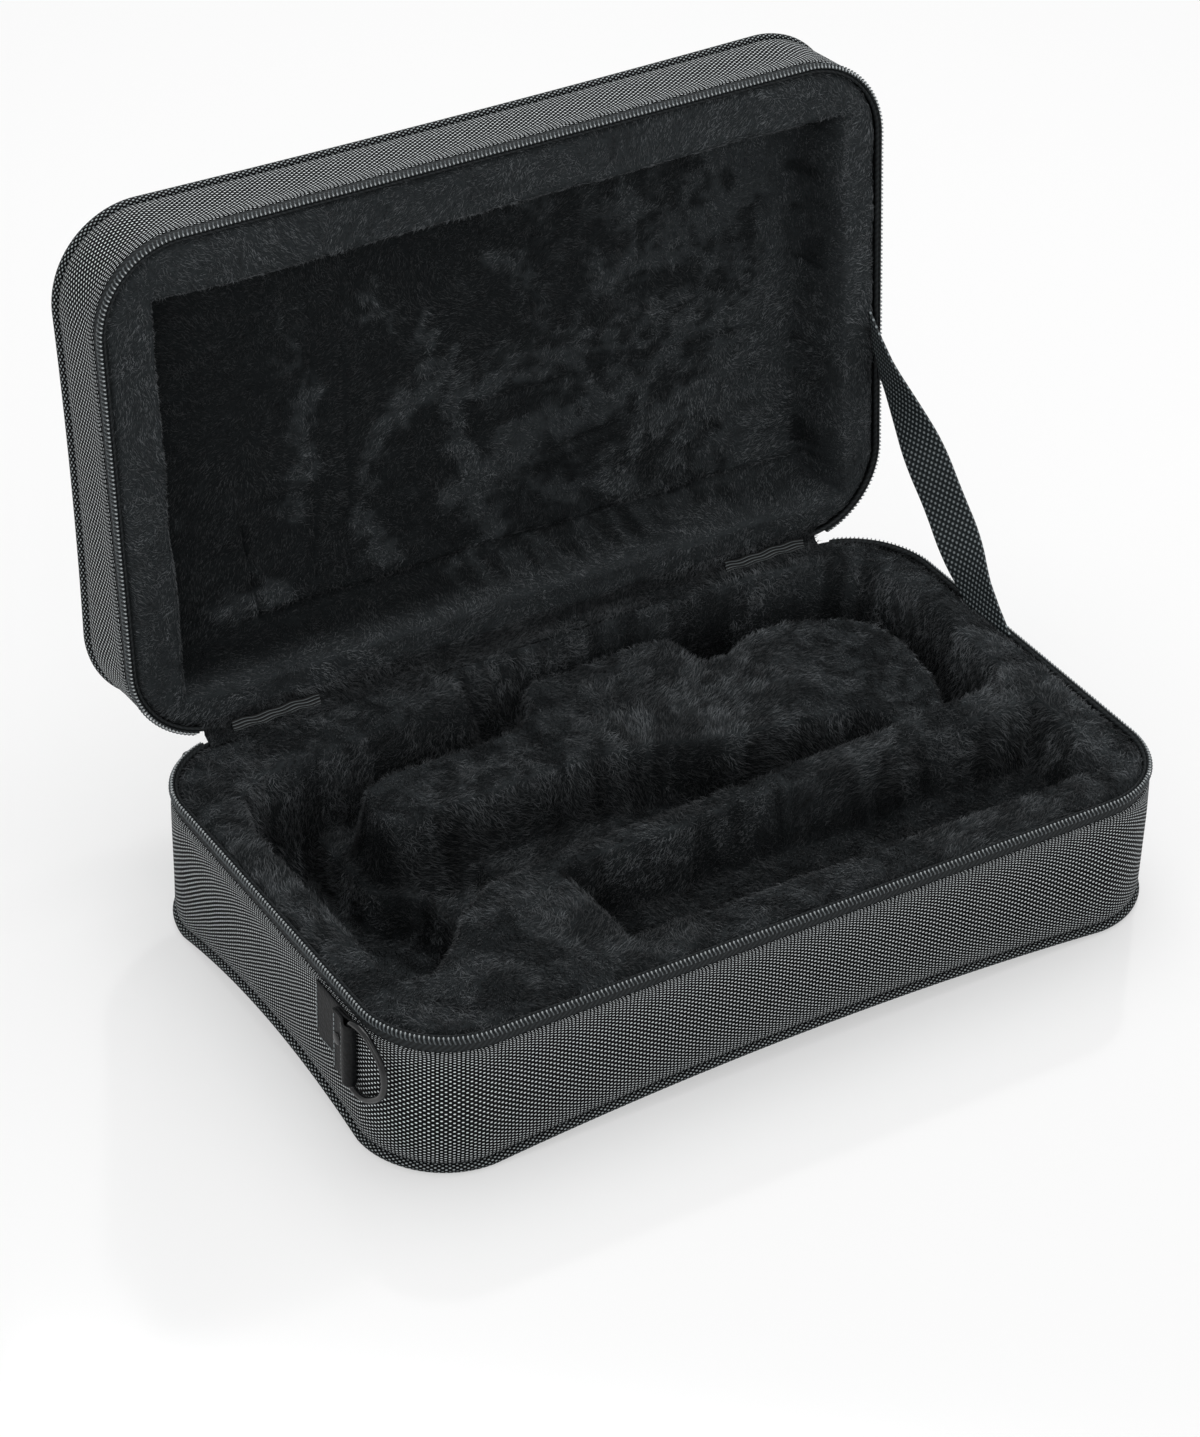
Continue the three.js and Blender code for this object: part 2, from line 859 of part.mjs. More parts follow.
function leatherPatch() {
  const length = patchLength / 2;
  const height = patchHeight / 2;
  const points = [
    [-length, patchTaper - height],
    [patchTaper - length, -height],
    [length - patchTaper, -height],
    [length, patchTaper - height],
    [length, height],
    [-length, height],
  ];
  return alongX(points, patchThickness);
}

function rivet() {
  const crown = 0.7;
  const profile = [
    new THREE.Vector2(0, 0),
    new THREE.Vector2(rivetRadius, 0),
    new THREE.Vector2(rivetRadius * crown, rivetHeight * crown),
    new THREE.Vector2(0, rivetHeight),
  ];
  return indexed(new THREE.LatheGeometry(profile, 2 * roundSides));
}

// Zip sliders at the two ends of the zip, each with a pull on its bail.
// Local y points away from the wall and local z points up.

function upright(points, thickness, hole) {
  const shape = new THREE.Shape(points.map(([x, z]) => new THREE.Vector2(x, z)));
  if (hole) {
    shape.holes.push(new THREE.Path(hole.map(([x, z]) => new THREE.Vector2(x, z))));
  }
  const geometry = new THREE.ExtrudeGeometry(shape, { depth: thickness, bevelEnabled: false });
  return geometry.translate(0, 0, -thickness / 2).rotateX(Math.PI / 2);
}

function zipSlider() {
  const [wide, tall] = [sliderWidth / 2, sliderHeight / 2];
  const body = upright(
    [[-wide + sliderTaper, -tall], [wide - sliderTaper, -tall], [wide, tall], [-wide, tall]],
    sliderThickness,
  );
  body.translate(0, sliderThickness / 2, 0);
  const sink = sliderThickness - gap;
  const turns = Array.from({ length: roundSides + 1 }, (_, k) => Math.PI * (k / roundSides - 1 / 2));
  const arc = (radius) => turns.map((turn) => [
    sliderThickness + radius * Math.cos(turn),
    radius * Math.sin(turn),
  ]);
  const outer = [[sink, -bailOuter], ...arc(bailOuter), [sink, bailOuter]];
  const inner = [[sink, bailInner], ...arc(bailInner).reverse(), [sink, -bailInner]];
  return solid(body).add(solid(alongX([...outer, ...inner], bailThickness)));
}

function zipPull() {
  const [wide, bar] = [pullWidth / 2, pullRim / 2];
  const foot = bar - pullLength;
  const corner = pullRim;
  const shoulder = -bar - pullEyeHeight - pullRim;
  const eye = pullEyeWidth / 2;
  const points = [
    [-wide + corner, foot],
    [wide - corner, foot],
    [wide, foot + corner],
    [wide, shoulder],
    [eye + pullRim, bar],
    [-eye - pullRim, bar],
    [-wide, shoulder],
    [-wide, foot + corner],
  ];
  const hole = [[-eye, -bar - pullEyeHeight], [eye, -bar - pullEyeHeight], [eye, -bar], [-eye, -bar]];
  return indexed(upright(points, pullThickness, hole));
}

// Looks: one material for each kind of piece

const looks = {
  nylon: { color: 0x4a4d4e, roughness: 0.85, metalness: 0 },
  piping: { color: 0x3a3d3e, roughness: 0.85, metalness: 0 },
  zipCloth: { color: 0x2b2e2f, roughness: 0.8, metalness: 0 },
  coil: { color: 0x555a5b, roughness: 0.4, metalness: 0 },
  binding: { color: 0x1c1f20, roughness: 0.8, metalness: 0 },
  plush: { color: 0x1d2323, roughness: 0.95, metalness: 0 },
  foam: { color: 0xe6e6e2, roughness: 0.9, metalness: 0 },
  leather: { color: 0x232627, roughness: 0.5, metalness: 0 },
  webbing: { color: 0x24282a, roughness: 0.7, metalness: 0 },
  metal: { color: 0x2a2c2d, roughness: 0.3, metalness: 0.9 },
};

function piece(parent, name, shape, look) {
  const geometry = shape instanceof THREE.BufferGeometry ? shape : geometryOf(shape);
  const mesh = new THREE.Mesh(geometry, new THREE.MeshStandardMaterial(looks[look]));
  mesh.name = name;
  parent.add(mesh);
  return mesh;
}

function clothHalf(parent, name, frame) {
  piece(parent, `${name}_outer_panel`, outerPanel(frame), "nylon");
  piece(parent, `${name}_side_cover`, sideCover(frame), "nylon");
  piece(parent, `${name}_piping`, piping(frame), "piping");
  piece(parent, `${name}_zip_tape`, zipTape(frame), "zipCloth");
  piece(parent, `${name}_zip_coil`, zipCoil(frame), "coil");
  piece(parent, `${name}_rim_binding`, binding(frame), "binding");
}

function baseGroup() {
  const group = new THREE.Group();
  clothHalf(group, "base", baseFrame);
  piece(group, "base_foam_shell", baseFoamShell(), "foam");
  piece(group, "cradle_floor_block", cradleBlock(), "foam");
  piece(group, "valve_island_block", islandBlock(), "foam");
  piece(group, "front_divider_block", dividerBlock(), "foam");
  piece(group, "rear_ledge_block", foamBlock(ledgeOutline), "foam");
  piece(group, "base_plush_liner", baseLiner(), "plush");
  return group;
}

function lidGroup() {
  const hinged = new THREE.Group();
  hinged.position.set(0, hingeY, hingeZ);
  hinged.rotation.x = -openAngle;
  const group = new THREE.Group();
  group.position.set(0, -hingeY, -hingeZ);
  hinged.add(group);
  clothHalf(group, "lid", lidFrame);
  piece(group, "lid_foam_shell", lidFoamShell(), "foam");
  piece(group, "lid_plush_liner", lidLiner(), "plush");
  return hinged;
}

function hingeGroup() {
  const group = new THREE.Group();
  piece(group, "hinge_cloth", hingeCloth(), "nylon");
  for (const [side, sense] of [["left", -1], ["right", 1]]) {
    const strip = piece(group, `hinge_ribbon_${side}`, hingeRibbon(), "webbing");
    strip.position.x = sense * ribbonPlaceShare * straightHalfX;
  }
  piece(group, "stay_strap", stayStrap(), "webbing");
  return group;
}

// The set is drawn at the left front. The right one is turned half round, to the right rear.
function ringGroup(side, turn) {
  const group = new THREE.Group();
  group.rotation.z = turn;
  const ring = piece(group, `d_ring_${side}`, dRing(), "metal");
  ring.position.set(-halfX - barOut, barY, barZ);
  ring.rotation.z = THREE.MathUtils.degToRad(ringLeanDegrees) - Math.PI / 2;
  const loop = piece(group, `d_ring_loop_${side}`, leatherLoop(), "leather");
  loop.position.copy(ring.position);
  const patch = piece(group, `d_ring_patch_${side}`, leatherPatch(), "leather");
  patch.position.set(
    -halfX - gap - patchThickness / 2,
    barY + loopRadius + gap + patchLength / 2,
    baseFrame.level(zipBand + gap) - patchHeight / 2,
  );
  const stud = piece(group, `d_ring_rivet_${side}`, rivet(), "metal");
  const seat = barOut - tailIn + 2 * loopThickness + gap;
  stud.position.set(-halfX - seat, barY + loopTail - rivetRadius - loopSide, barZ);
  stud.rotation.z = Math.PI / 2;
  return group;
}

function sliderGroup(side, sense) {
  const group = new THREE.Group();
  const endTurn = Math.PI / 2 / cornerSteps;
  const turn = endTurn + sliderFromEnd / cornerRadius;
  const face = cornerRadius + gap;
  group.position.set(
    sense * (straightHalfX + face * Math.sin(turn)),
    straightHalfY + face * Math.cos(turn),
    baseHeight - sliderDrop - sliderHeight / 2,
  );
  group.rotation.z = -sense * turn;
  piece(group, `zip_slider_${side}`, zipSlider(), "metal");
  const pull = piece(group, `zip_pull_${side}`, zipPull(), "metal");
  pull.position.y = sliderThickness + pullPivotOut;
  return group;
}

const cornetCase = new THREE.Group();
cornetCase.add(baseGroup(), lidGroup(), hingeGroup());
for (const [side, sense, turn] of [["left", -1, 0], ["right", 1, Math.PI]]) {
  cornetCase.add(ringGroup(side, turn), sliderGroup(side, sense));
}

export default cornetCase;
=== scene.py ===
import math

import bpy
import numpy as np
from mathutils import Matrix, Vector, noise


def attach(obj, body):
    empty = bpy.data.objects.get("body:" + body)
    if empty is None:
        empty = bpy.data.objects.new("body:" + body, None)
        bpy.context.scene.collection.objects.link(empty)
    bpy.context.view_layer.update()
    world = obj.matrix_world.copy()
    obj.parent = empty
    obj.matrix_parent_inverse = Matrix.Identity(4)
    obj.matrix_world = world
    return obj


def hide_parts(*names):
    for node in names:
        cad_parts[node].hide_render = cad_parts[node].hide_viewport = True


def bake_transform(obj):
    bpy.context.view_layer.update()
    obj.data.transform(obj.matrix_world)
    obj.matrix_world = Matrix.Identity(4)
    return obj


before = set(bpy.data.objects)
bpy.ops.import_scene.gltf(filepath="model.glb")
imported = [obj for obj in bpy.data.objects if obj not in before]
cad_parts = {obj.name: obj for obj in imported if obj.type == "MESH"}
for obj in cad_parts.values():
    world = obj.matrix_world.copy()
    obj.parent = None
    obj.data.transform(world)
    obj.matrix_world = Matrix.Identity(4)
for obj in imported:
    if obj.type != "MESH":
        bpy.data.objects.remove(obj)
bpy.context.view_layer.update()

bpy.ops.object.select_all(action="DESELECT")

# Side wall of the base: one long strip of woven nylon, cut flat, sewn into a
# ring and drawn over the foam. Its top edge is folded under beside the zip, and
# its foot is sewn into the seam with the piping.
CORNER = 0.049
RUN_X, RUN_Y = 0.186, 0.0935
ARC = math.pi / 2 * CORNER
STRETCHES = [RUN_X, ARC, 2 * RUN_Y, ARC, 2 * RUN_X, ARC, 2 * RUN_Y, ARC, RUN_X]
ROUND = sum(STRETCHES)
RIM = 0.0847
LID_DEPTH = 0.0539
RIM_GAP = 0.0015
HINGE = Vector((0, RUN_Y + CORNER, RIM + RIM_GAP))
OPENING = math.radians(95.3)
BASE_RISES = (0.0089, 0.0109)
LID_RISES = (0.0032, 0.0032)
HALVES = (("base", "base_shell"), ("lid", "lid"))
NYLON_THICK = 0.0008
SAME_POINT = 0.00002
lid_open = Matrix.Translation(HINGE) @ Matrix.Rotation(-OPENING, 4, "X") @ Matrix.Translation(-HINGE)


def case_edge(distance, rises):
    """The case's outline, that far round from the middle of its back by way of its left end:
    x, y, the outward direction, and how much the foot seam rises there."""
    x, y, out_x, out_y, rise = (np.zeros_like(distance) for _ in range(5))
    starts = np.concatenate([[0], np.cumsum(STRETCHES)])
    corners = {1: (-1, 1, 90), 3: (-1, -1, 180), 5: (1, -1, 270), 7: (1, 1, 0)}
    sides = {0: (0, 1, 0), 2: (-1, 0, RUN_Y), 4: (0, -1, RUN_X), 6: (1, 0, RUN_Y), 8: (0, 1, RUN_X)}
    turned = np.mod(distance, ROUND)
    for k in range(9):
        here = (turned >= starts[k]) & ((turned < starts[k + 1]) | (k == 8))
        along = turned[here] - starts[k]
        if k in corners:
            sign_x, sign_y, first = corners[k]
            angle = math.radians(first) + along / CORNER
            out_x[here], out_y[here] = np.cos(angle), np.sin(angle)
            x[here] = sign_x * RUN_X + CORNER * np.cos(angle)
            y[here] = sign_y * RUN_Y + CORNER * np.sin(angle)
            continue
        nx, ny, back = sides[k]
        along = along - back
        x[here] = nx * (RUN_X + CORNER) - ny * along
        y[here] = ny * (RUN_Y + CORNER) + nx * along
        out_x[here], out_y[here] = nx, ny
        reach, height = (RUN_Y, rises[1]) if nx else (RUN_X, rises[0])
        rise[here] = height * (1 - (along / reach) ** 2)
    return x, y, out_x, out_y, rise


def coordinates(piece):
    found = np.empty(3 * len(piece.data.vertices))
    piece.data.vertices.foreach_get("co", found)
    return found.reshape(-1, 3)


def put(piece, points):
    piece.data.vertices.foreach_set("co", np.ascontiguousarray(points, dtype=float).ravel())
    piece.data.update()


def read_uv(piece):
    layer = piece.data.uv_layers.active.data
    uv = np.empty(2 * len(layer))
    layer.foreach_get("uv", uv)
    return uv.reshape(-1, 2)


def write_uv(piece, uv):
    piece.data.uv_layers.active.data.foreach_set("uv", np.ascontiguousarray(uv, dtype=float).ravel())


def set_values(piece, name, values):
    """Gives each point of a piece a value that its material can read by that name."""
    piece.data.attributes.new(name, "FLOAT", "POINT").data.foreach_set("value", values)


def plan_uv(piece, plan):
    """Gives each face corner the plan of its point, in metres, as its UV."""
    write_uv(piece, plan[[corner.vertex_index for corner in piece.data.loops], :2])


def only(piece):
    """Makes a piece the only selected one, and the active one."""
    bpy.ops.object.select_all(action="DESELECT")
    piece.select_set(True)
    bpy.context.view_layer.objects.active = piece


def edit(piece, *steps, everything=True):
    """Runs edit mode operators on all of one piece, or on what was picked."""
    only(piece)
    bpy.ops.object.mode_set(mode="EDIT")
    if everything:
        bpy.ops.mesh.select_all(action="SELECT")
    for step in steps:
        step()
    bpy.ops.object.mode_set(mode="OBJECT")
    piece.select_set(False)


def close_seams(piece):
    edit(
        piece,
        lambda: bpy.ops.mesh.remove_doubles(threshold=SAME_POINT),
        lambda: bpy.ops.mesh.normals_make_consistent(inside=False),
    )


def pick(piece, chosen):
    """Selects those vertices of a piece, and the edges and faces between them, for the next edit."""
    data = piece.data
    data.vertices.foreach_set("select", chosen)
    data.edges.foreach_set("select", [all(chosen[i] for i in e.vertices) for e in data.edges])
    data.polygons.foreach_set("select", [all(chosen[i] for i in p.vertices) for p in data.polygons])


def modify(piece, kind, **settings):
    bpy.context.view_layer.objects.active = piece
    piece.select_set(True)
    modifier = piece.modifiers.new(kind.title(), kind)
    for name, value in settings.items():
        setattr(modifier, name, value)
    bpy.ops.object.modifier_apply(modifier=modifier.name)
    piece.select_set(False)


def thicken(piece, thickness, offset, rounded=None):
    """Gives a sheet its thickness, and rounds its cut edges if asked to."""
    modify(piece, "SOLIDIFY", thickness=thickness, offset=offset)
    if rounded:
        modify(piece, "BEVEL", width=rounded, segments=2, limit_method="ANGLE")


def face_out(piece):
    edit(piece, lambda: bpy.ops.mesh.normals_make_consistent(inside=False))


def smooth(piece, degrees=40):
    piece.select_set(True)
    bpy.context.view_layer.objects.active = piece
    bpy.ops.object.shade_smooth_by_angle(angle=math.radians(degrees))
    piece.select_set(False)


def flat_strip(name, columns, rows):
    """A flat strip of cloth, one unit each way until it is bent to its place."""
    bpy.ops.mesh.primitive_grid_add(x_subdivisions=columns, y_subdivisions=rows, size=1)
    strip = bpy.context.object
    strip.name = name
    strip.data.name = name
    return strip


def wrap_round(strip, half, section, start=0.0, end=ROUND, width=1.0):
    """Bends a flat strip round a half of the case. section gives inset and depth below the rim from
    the share across the strip, the rise of the seam and the distance round. UVs become metres."""
    flat = coordinates(strip)
    distance = start + (flat[:, 0] + 0.5) * (end - start)
    x, y, out_x, out_y, rise = case_edge(distance, BASE_RISES if half == "base" else LID_RISES)
    inset, depth = section(flat[:, 1] + 0.5, rise, distance)
    points = np.stack([x - out_x * inset, y - out_y * inset, -depth], 1)
    put(strip, stand(points, half))
    write_uv(strip, read_uv(strip) * [end - start, width])


def moved_by(matrix, points):
    matrix = np.array(matrix)
    return points @ matrix[:3, :3].T + matrix[:3, 3]


def stand(points, half):
    """Takes points given by plan and height above the rim into the base, or into the open lid."""
    if half == "base":
        return points + [0, 0, RIM]
    return moved_by(lid_open, points * [1, 1, -1] + [0, 0, HINGE.z])


def linear(shade):
    shares = [int(shade[i:i + 2], 16) / 255 for i in (1, 3, 5)]
    return [s / 12.92 if s <= 0.04045 else ((s + 0.055) / 1.055) ** 2.4 for s in shares] + [1]


def add(material, kind, inputs, **settings):
    """Adds a node with its settings. An input is a value, or another node's output to link to it."""
    node = material.node_tree.nodes.new("ShaderNode" + kind)
    for name, value in settings.items():
        setattr(node, name, value)
    for place, value in inputs.items():
        if isinstance(value, bpy.types.NodeSocket):
            material.node_tree.links.new(value, node.inputs[place])
        else:
            node.inputs[place].default_value = value
    return node


def new_material(name, roughness, specular=0.5, **others):
    material = bpy.data.materials.new(name)
    material.use_nodes = True
    surface = material.node_tree.nodes["Principled BSDF"].inputs
    for place, value in {"Roughness": roughness, "Specular IOR Level": specular, **others}.items():
        surface[place].default_value = value
    return material


def link(material, output, place):
    material.node_tree.links.new(output, material.node_tree.nodes["Principled BSDF"].inputs[place])


def colour(material, share, low, high):
    """Colours a surface by a share, low at 0 and high at 1. low is a hex colour or an output."""
    low, high = low if isinstance(low, bpy.types.NodeSocket) else linear(low), linear(high)
    mixed = add(material, "Mix", {"Factor": share, "A": low, "B": high}, data_type="RGBA").outputs["Result"]
    link(material, mixed, "Base Color")
    return mixed


def relief(material, height, strength, depth):
    bump = add(material, "Bump", {"Strength": strength, "Distance": depth, "Height": height})
    link(material, bump.outputs[0], "Normal")


def math_node(material, operation, *values, kind="Math"):
    return add(material, kind, dict(enumerate(values)), operation=operation).outputs[0]


def crossed(material, first, second):
    return math_node(material, "MULTIPLY", first, second)


def wave(material, place, step, shape="COSINE"):
    """A wave along one coordinate that turns over once in each step."""
    return math_node(material, shape, crossed(material, place, math.pi / step))


def ramp(material, value, low, high, to_low=0, to_high=1, **settings):
    reach = {"Value": value, "From Min": low, "From Max": high, "To Min": to_low, "To Max": to_high}
    return add(material, "MapRange", reach, **settings).outputs[0]


def strip_axes(material):
    """The places along and across a strip of cloth, in metres."""
    place = add(material, "UVMap", {})
    return add(material, "SeparateXYZ", {0: place.outputs[0]}).outputs


def solid_texture(material, kind, scale, **settings):
    """A texture that runs through the stuff itself, whichever way its surface is bent."""
    place = add(material, "TexCoord", {})
    return add(material, kind, {"Vector": place.outputs["Object"], "Scale": scale, **settings}).outputs


HEM_TOP, FOOT_SEAM = 0.0087, 0.0046


def wall_section(height, soft):
    """Hem, wall and foot of a side wall: it bulges and dents a little over the foam."""

    def section(share, rise, distance):
        eased = (1 - np.cos(math.pi * share)) / 2 * 0.75 + share * 0.25
        foot = height - FOOT_SEAM - rise
        depth = HEM_TOP + (foot - HEM_TOP) * eased
        from_hem, from_foot = depth - HEM_TOP, foot - depth
        inset = 0.0009 * np.exp(-from_hem / 0.0006) + 0.0022 * np.exp(-from_foot / 0.0016)
        dents = np.array([
            noise.noise(Vector((d * 11 + soft, z * 9, soft))) + 0.5 * noise.noise(Vector((d * 34, z * 20, soft + 3)))
            for d, z in zip(distance, depth)
        ])
        middle = np.clip(from_hem / 0.02, 0, 1) * np.clip(from_foot / 0.02, 0, 1)
        return inset + 0.0007 * dents * middle, depth

    return section


def side_wall(half, height, rows, soft, width):
    """One side wall. The needle draws its weave together just below the hem."""
    wall = flat_strip(half + "_side_wall", 720, rows)
    wrap_round(wall, half, wall_section(height, soft), width=width)
    uv = read_uv(wall)
    drawn = np.exp(-uv[:, 1] / 0.0035)
    uv[:, 0] += drawn * 0.0011 * np.sin(uv[:, 0] / 0.0031) * np.sin(uv[:, 0] / 0.0127 + 1)
    write_uv(wall, uv)
    close_seams(wall)
    thicken(wall, NYLON_THICK, -1)
    smooth(wall)
    return wall


base_wall = side_wall("base", RIM, 22, 2.0, 0.071)

# Woven two-tone nylon: black ground with pale weft threads that show as staggered dots. On the
# real cloth the rows are 1.5 mm apart and the columns 1.7 mm. They are drawn at 2.0 and 2.1 mm, so
# that they still show at this picture's size. Plain weave, slightly satin on each thread.
DOT_COLUMN, DOT_ROW = 0.0021, 0.0020
woven_nylon = new_material("Woven_two_tone_nylon", 0.7, 0.12)
cloth_uv = add(woven_nylon, "UVMap", {}).outputs[0]
slack = add(woven_nylon, "TexNoise", {"Vector": cloth_uv, "Scale": 90, "Detail": 1})
slack_step = math_node(woven_nylon, "SUBTRACT", slack.outputs["Color"], (0.5, 0.5, 0.5), kind="VectorMath")
slack_small = add(woven_nylon, "VectorMath", {0: slack_step, "Scale": 0.0005}, operation="SCALE").outputs[0]
eased_uv = math_node(woven_nylon, "ADD", cloth_uv, slack_small, kind="VectorMath")
weft, warp, _ = add(woven_nylon, "SeparateXYZ", {0: eased_uv}).outputs
thread_cross = crossed(woven_nylon, wave(woven_nylon, weft, DOT_COLUMN), wave(woven_nylon, warp, DOT_ROW / 2))
dots = ramp(woven_nylon, thread_cross, 0.48, 0.64, interpolation_type="SMOOTHSTEP")
fade = add(woven_nylon, "TexNoise", {"Vector": cloth_uv, "Scale": 260, "Detail": 2})
colour(
    woven_nylon, crossed(woven_nylon, dots, ramp(woven_nylon, fade.outputs[0], 0.3, 0.7, 0.86, 1)),
    "#050607", "#eef4f6",
)
relief(woven_nylon, thread_cross, 0.35, 0.0004)
base_wall.data.materials.append(woven_nylon)
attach(base_wall, "base_shell")
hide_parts("base_side_cover")

# Side wall of the lid: the same strip, shallower, round the lid's own foam.
lid_wall = side_wall("lid", LID_DEPTH, 16, 7.0, 0.041)
lid_wall.data.materials.append(woven_nylon)
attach(lid_wall, "lid")
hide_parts("lid_side_cover")

# Bottom and top panels: the same nylon over the foam's broad faces, flat in the middle and
# turned up to the seam at the edges, where the piping holds it.
PANEL_STEPS = [(0.0032, 1.0), (0.0105, 0.37), (0.022, 0.085), (0.036, 0.0), (0.047, 0.0)]


def panel_section(height):

    def section(share, rise, distance):
        insets, lifts = zip(*PANEL_STEPS)
        inset = insets[0] + (insets[-1] - insets[0]) * share
        lift = np.interp(inset, insets, lifts)
        smoothed = (lift + np.interp(inset - 0.002, insets, lifts) + np.interp(inset + 0.002, insets, lifts)) / 3
        return inset, height - smoothed * (rise + 0.0014)

    return section


def panel(name, half, height):
    cloth = flat_strip(name, 360, 18)
    wrap_round(cloth, half, panel_section(height))
    close_seams(cloth)
    plan = coordinates(cloth)
    if half == "lid":
        plan = moved_by(lid_open.inverted(), plan)
    pick(cloth, (np.abs(plan[:, 0]) < RUN_X + 0.0025) & (np.abs(plan[:, 1]) < RUN_Y + 0.0025))
    edit(
        cloth,
        lambda: bpy.ops.mesh.edge_face_add(),
        lambda: bpy.ops.mesh.select_all(action="SELECT"),
        lambda: bpy.ops.mesh.normals_make_consistent(inside=False),
        everything=False,
    )
    plan_uv(cloth, plan)
    thicken(cloth, NYLON_THICK, 0)
    smooth(cloth)
    cloth.data.materials.append(woven_nylon)
    return cloth


base_panel = panel("base_bottom_panel", "base", RIM)
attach(base_panel, "base_shell")
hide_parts("base_outer_panel")
lid_panel = panel("lid_top_panel", "lid", LID_DEPTH)
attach(lid_panel, "lid")
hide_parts("lid_outer_panel")

# Piping in the two foot seams: a cord of about 5 mm folded into a bias strip of the same
# nylon, sewn between wall and panel, so that only its round edge stands out.
PIPING_RADIUS = 0.0025


def tube_section(inset, depth, half_width, half_height, with_seam=False):
    """A tube about a middle line. One in the foot seam rises with it."""

    def section(share, rise, distance):
        turn = 2 * math.pi * share
        middle = depth - rise if with_seam else depth
        return inset - half_width * np.cos(turn), middle + half_height * np.sin(turn)

    return section


piping_nylon = new_material("Bias_cut_nylon_over_cord", 0.65, 0.12)
along_cord, round_cord, _ = strip_axes(piping_nylon)
piping_cross = crossed(piping_nylon, wave(piping_nylon, along_cord, 0.0018), wave(piping_nylon, round_cord, 0.0010))
colour(piping_nylon, ramp(piping_nylon, piping_cross, 0.35, 0.65), "#08090a", "#a9b0b2")
for half, body, height in (("base", "base_shell", RIM), ("lid", "lid", LID_DEPTH)):
    cord = flat_strip(half + "_corded_piping", 560, 12)
    cord_section = tube_section(0.0012, height - PIPING_RADIUS, PIPING_RADIUS, PIPING_RADIUS, with_seam=True)
    wrap_round(cord, half, cord_section, width=2 * math.pi * PIPING_RADIUS)
    close_seams(cord)
    smooth(cord, 60)
    cord.data.materials.append(piping_nylon)
    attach(cord, body)
    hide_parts(half + "_piping")

# Zip tapes: dark woven polyester tape, sewn to the hem of each wall and running on up to the
# coil. About 5 mm of it shows below the coil, all round but along the hinge.
ZIP_FROM, ZIP_TO = RUN_X + ARC / 6, ROUND - RUN_X - ARC / 6
TAPE_FROM, TAPE_TO = RUN_X - 0.001, ROUND - RUN_X + 0.001


def tape_section(share, rise, distance):
    curl = 0.0005 * np.sin(math.pi * share)
    return 0.0014 - curl, 0.0012 + 0.0088 * share


zip_tape_cloth = new_material("Woven_polyester_tape", 0.7, 0.25)
tape_uv = add(zip_tape_cloth, "UVMap", {}).outputs[0]
tape_twill = add(
    zip_tape_cloth, "TexWave", {"Vector": tape_uv, "Scale": 170, "Distortion": 1.5, "Detail": 1},
    bands_direction="DIAGONAL",
).outputs[1]
colour(zip_tape_cloth, tape_twill, "#16191a", "#2a2e30")
relief(zip_tape_cloth, tape_twill, 0.3, 0.0003)
for half, body in HALVES:
    tape = flat_strip(half + "_zip_tape_cloth", 560, 4)
    wrap_round(tape, half, tape_section, TAPE_FROM, TAPE_TO, 0.0088)
    face_out(tape)
    thicken(tape, 0.0007, -1)
    smooth(tape)
    tape.data.materials.append(zip_tape_cloth)
    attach(tape, body)
    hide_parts(half + "_zip_tape")

# Zip coils: a nylon filament wound in loops 2.4 mm apart round a cord and sewn to the tape.
# Each loop climbs slanting over the outside and ends in a flattened head that stands up past
# the tape, painted pale as a highlight. One loop is modelled and copied round the case. The lid's
# loops stand half a step along, so that the two coils mesh when the case is shut.
LOOP_PITCH = 0.00241
loop_count = round((ZIP_TO - ZIP_FROM) / LOOP_PITCH)
LOOP_POINTS = [(-0.8, -0.1, 1.75), (-0.7, 0.45, 1.05), (-0.35, 1.25, 0.35), (0.1, 1.4, -0.7), (0.4, 0.7, -1.85)]


def bent_wire(name, points, radius, roundness, steps):
    """A wire bent through those points. It is still a curve."""
    bpy.ops.curve.primitive_bezier_curve_add()
    wire = bpy.context.object
    wire.name = name
    spline = wire.data.splines[0]
    spline.bezier_points.add(len(points) - 2)
    for point, place in zip(spline.bezier_points, points):
        point.co = place
        point.handle_left_type = point.handle_right_type = "AUTO"
    wire.data.dimensions = "3D"
    wire.data.bevel_depth = radius
    wire.data.bevel_resolution = roundness
    wire.data.resolution_u = steps
    return wire


loop = bent_wire("coil_loop", np.array(LOOP_POINTS) / 1000, 0.00042, 0, 2)
loop.data.use_fill_caps = True
only(loop)
bpy.ops.object.convert(target="MESH")
bpy.ops.mesh.primitive_uv_sphere_add(segments=6, ring_count=4, radius=0.00055)
head = bpy.context.object
put(head, coordinates(head) * [0.75, 1.3, 0.95] + [-0.0008, 0.0001, 0.0017])
only(loop)
head.select_set(True)
bpy.ops.object.join()
loop.data.transform(loop.matrix_world)
loop.matrix_world = Matrix.Identity(4)
loop_shape = coordinates(loop)
on_head = loop_shape[:, 2] > 0.0013
loop_faces = [list(p.vertices) for p in loop.data.polygons]


def new_piece(name, points, faces):
    mesh = bpy.data.meshes.new(name)
    mesh.from_pydata(points.tolist(), [], faces)
    piece = bpy.data.objects.new(name, mesh)
    bpy.context.collection.objects.link(piece)
    return piece


def repeated(faces, points, count):
    """The faces of that many copies of a shape that has that many points."""
    return [[i + k * points for i in face] for k in range(count) for face in faces]


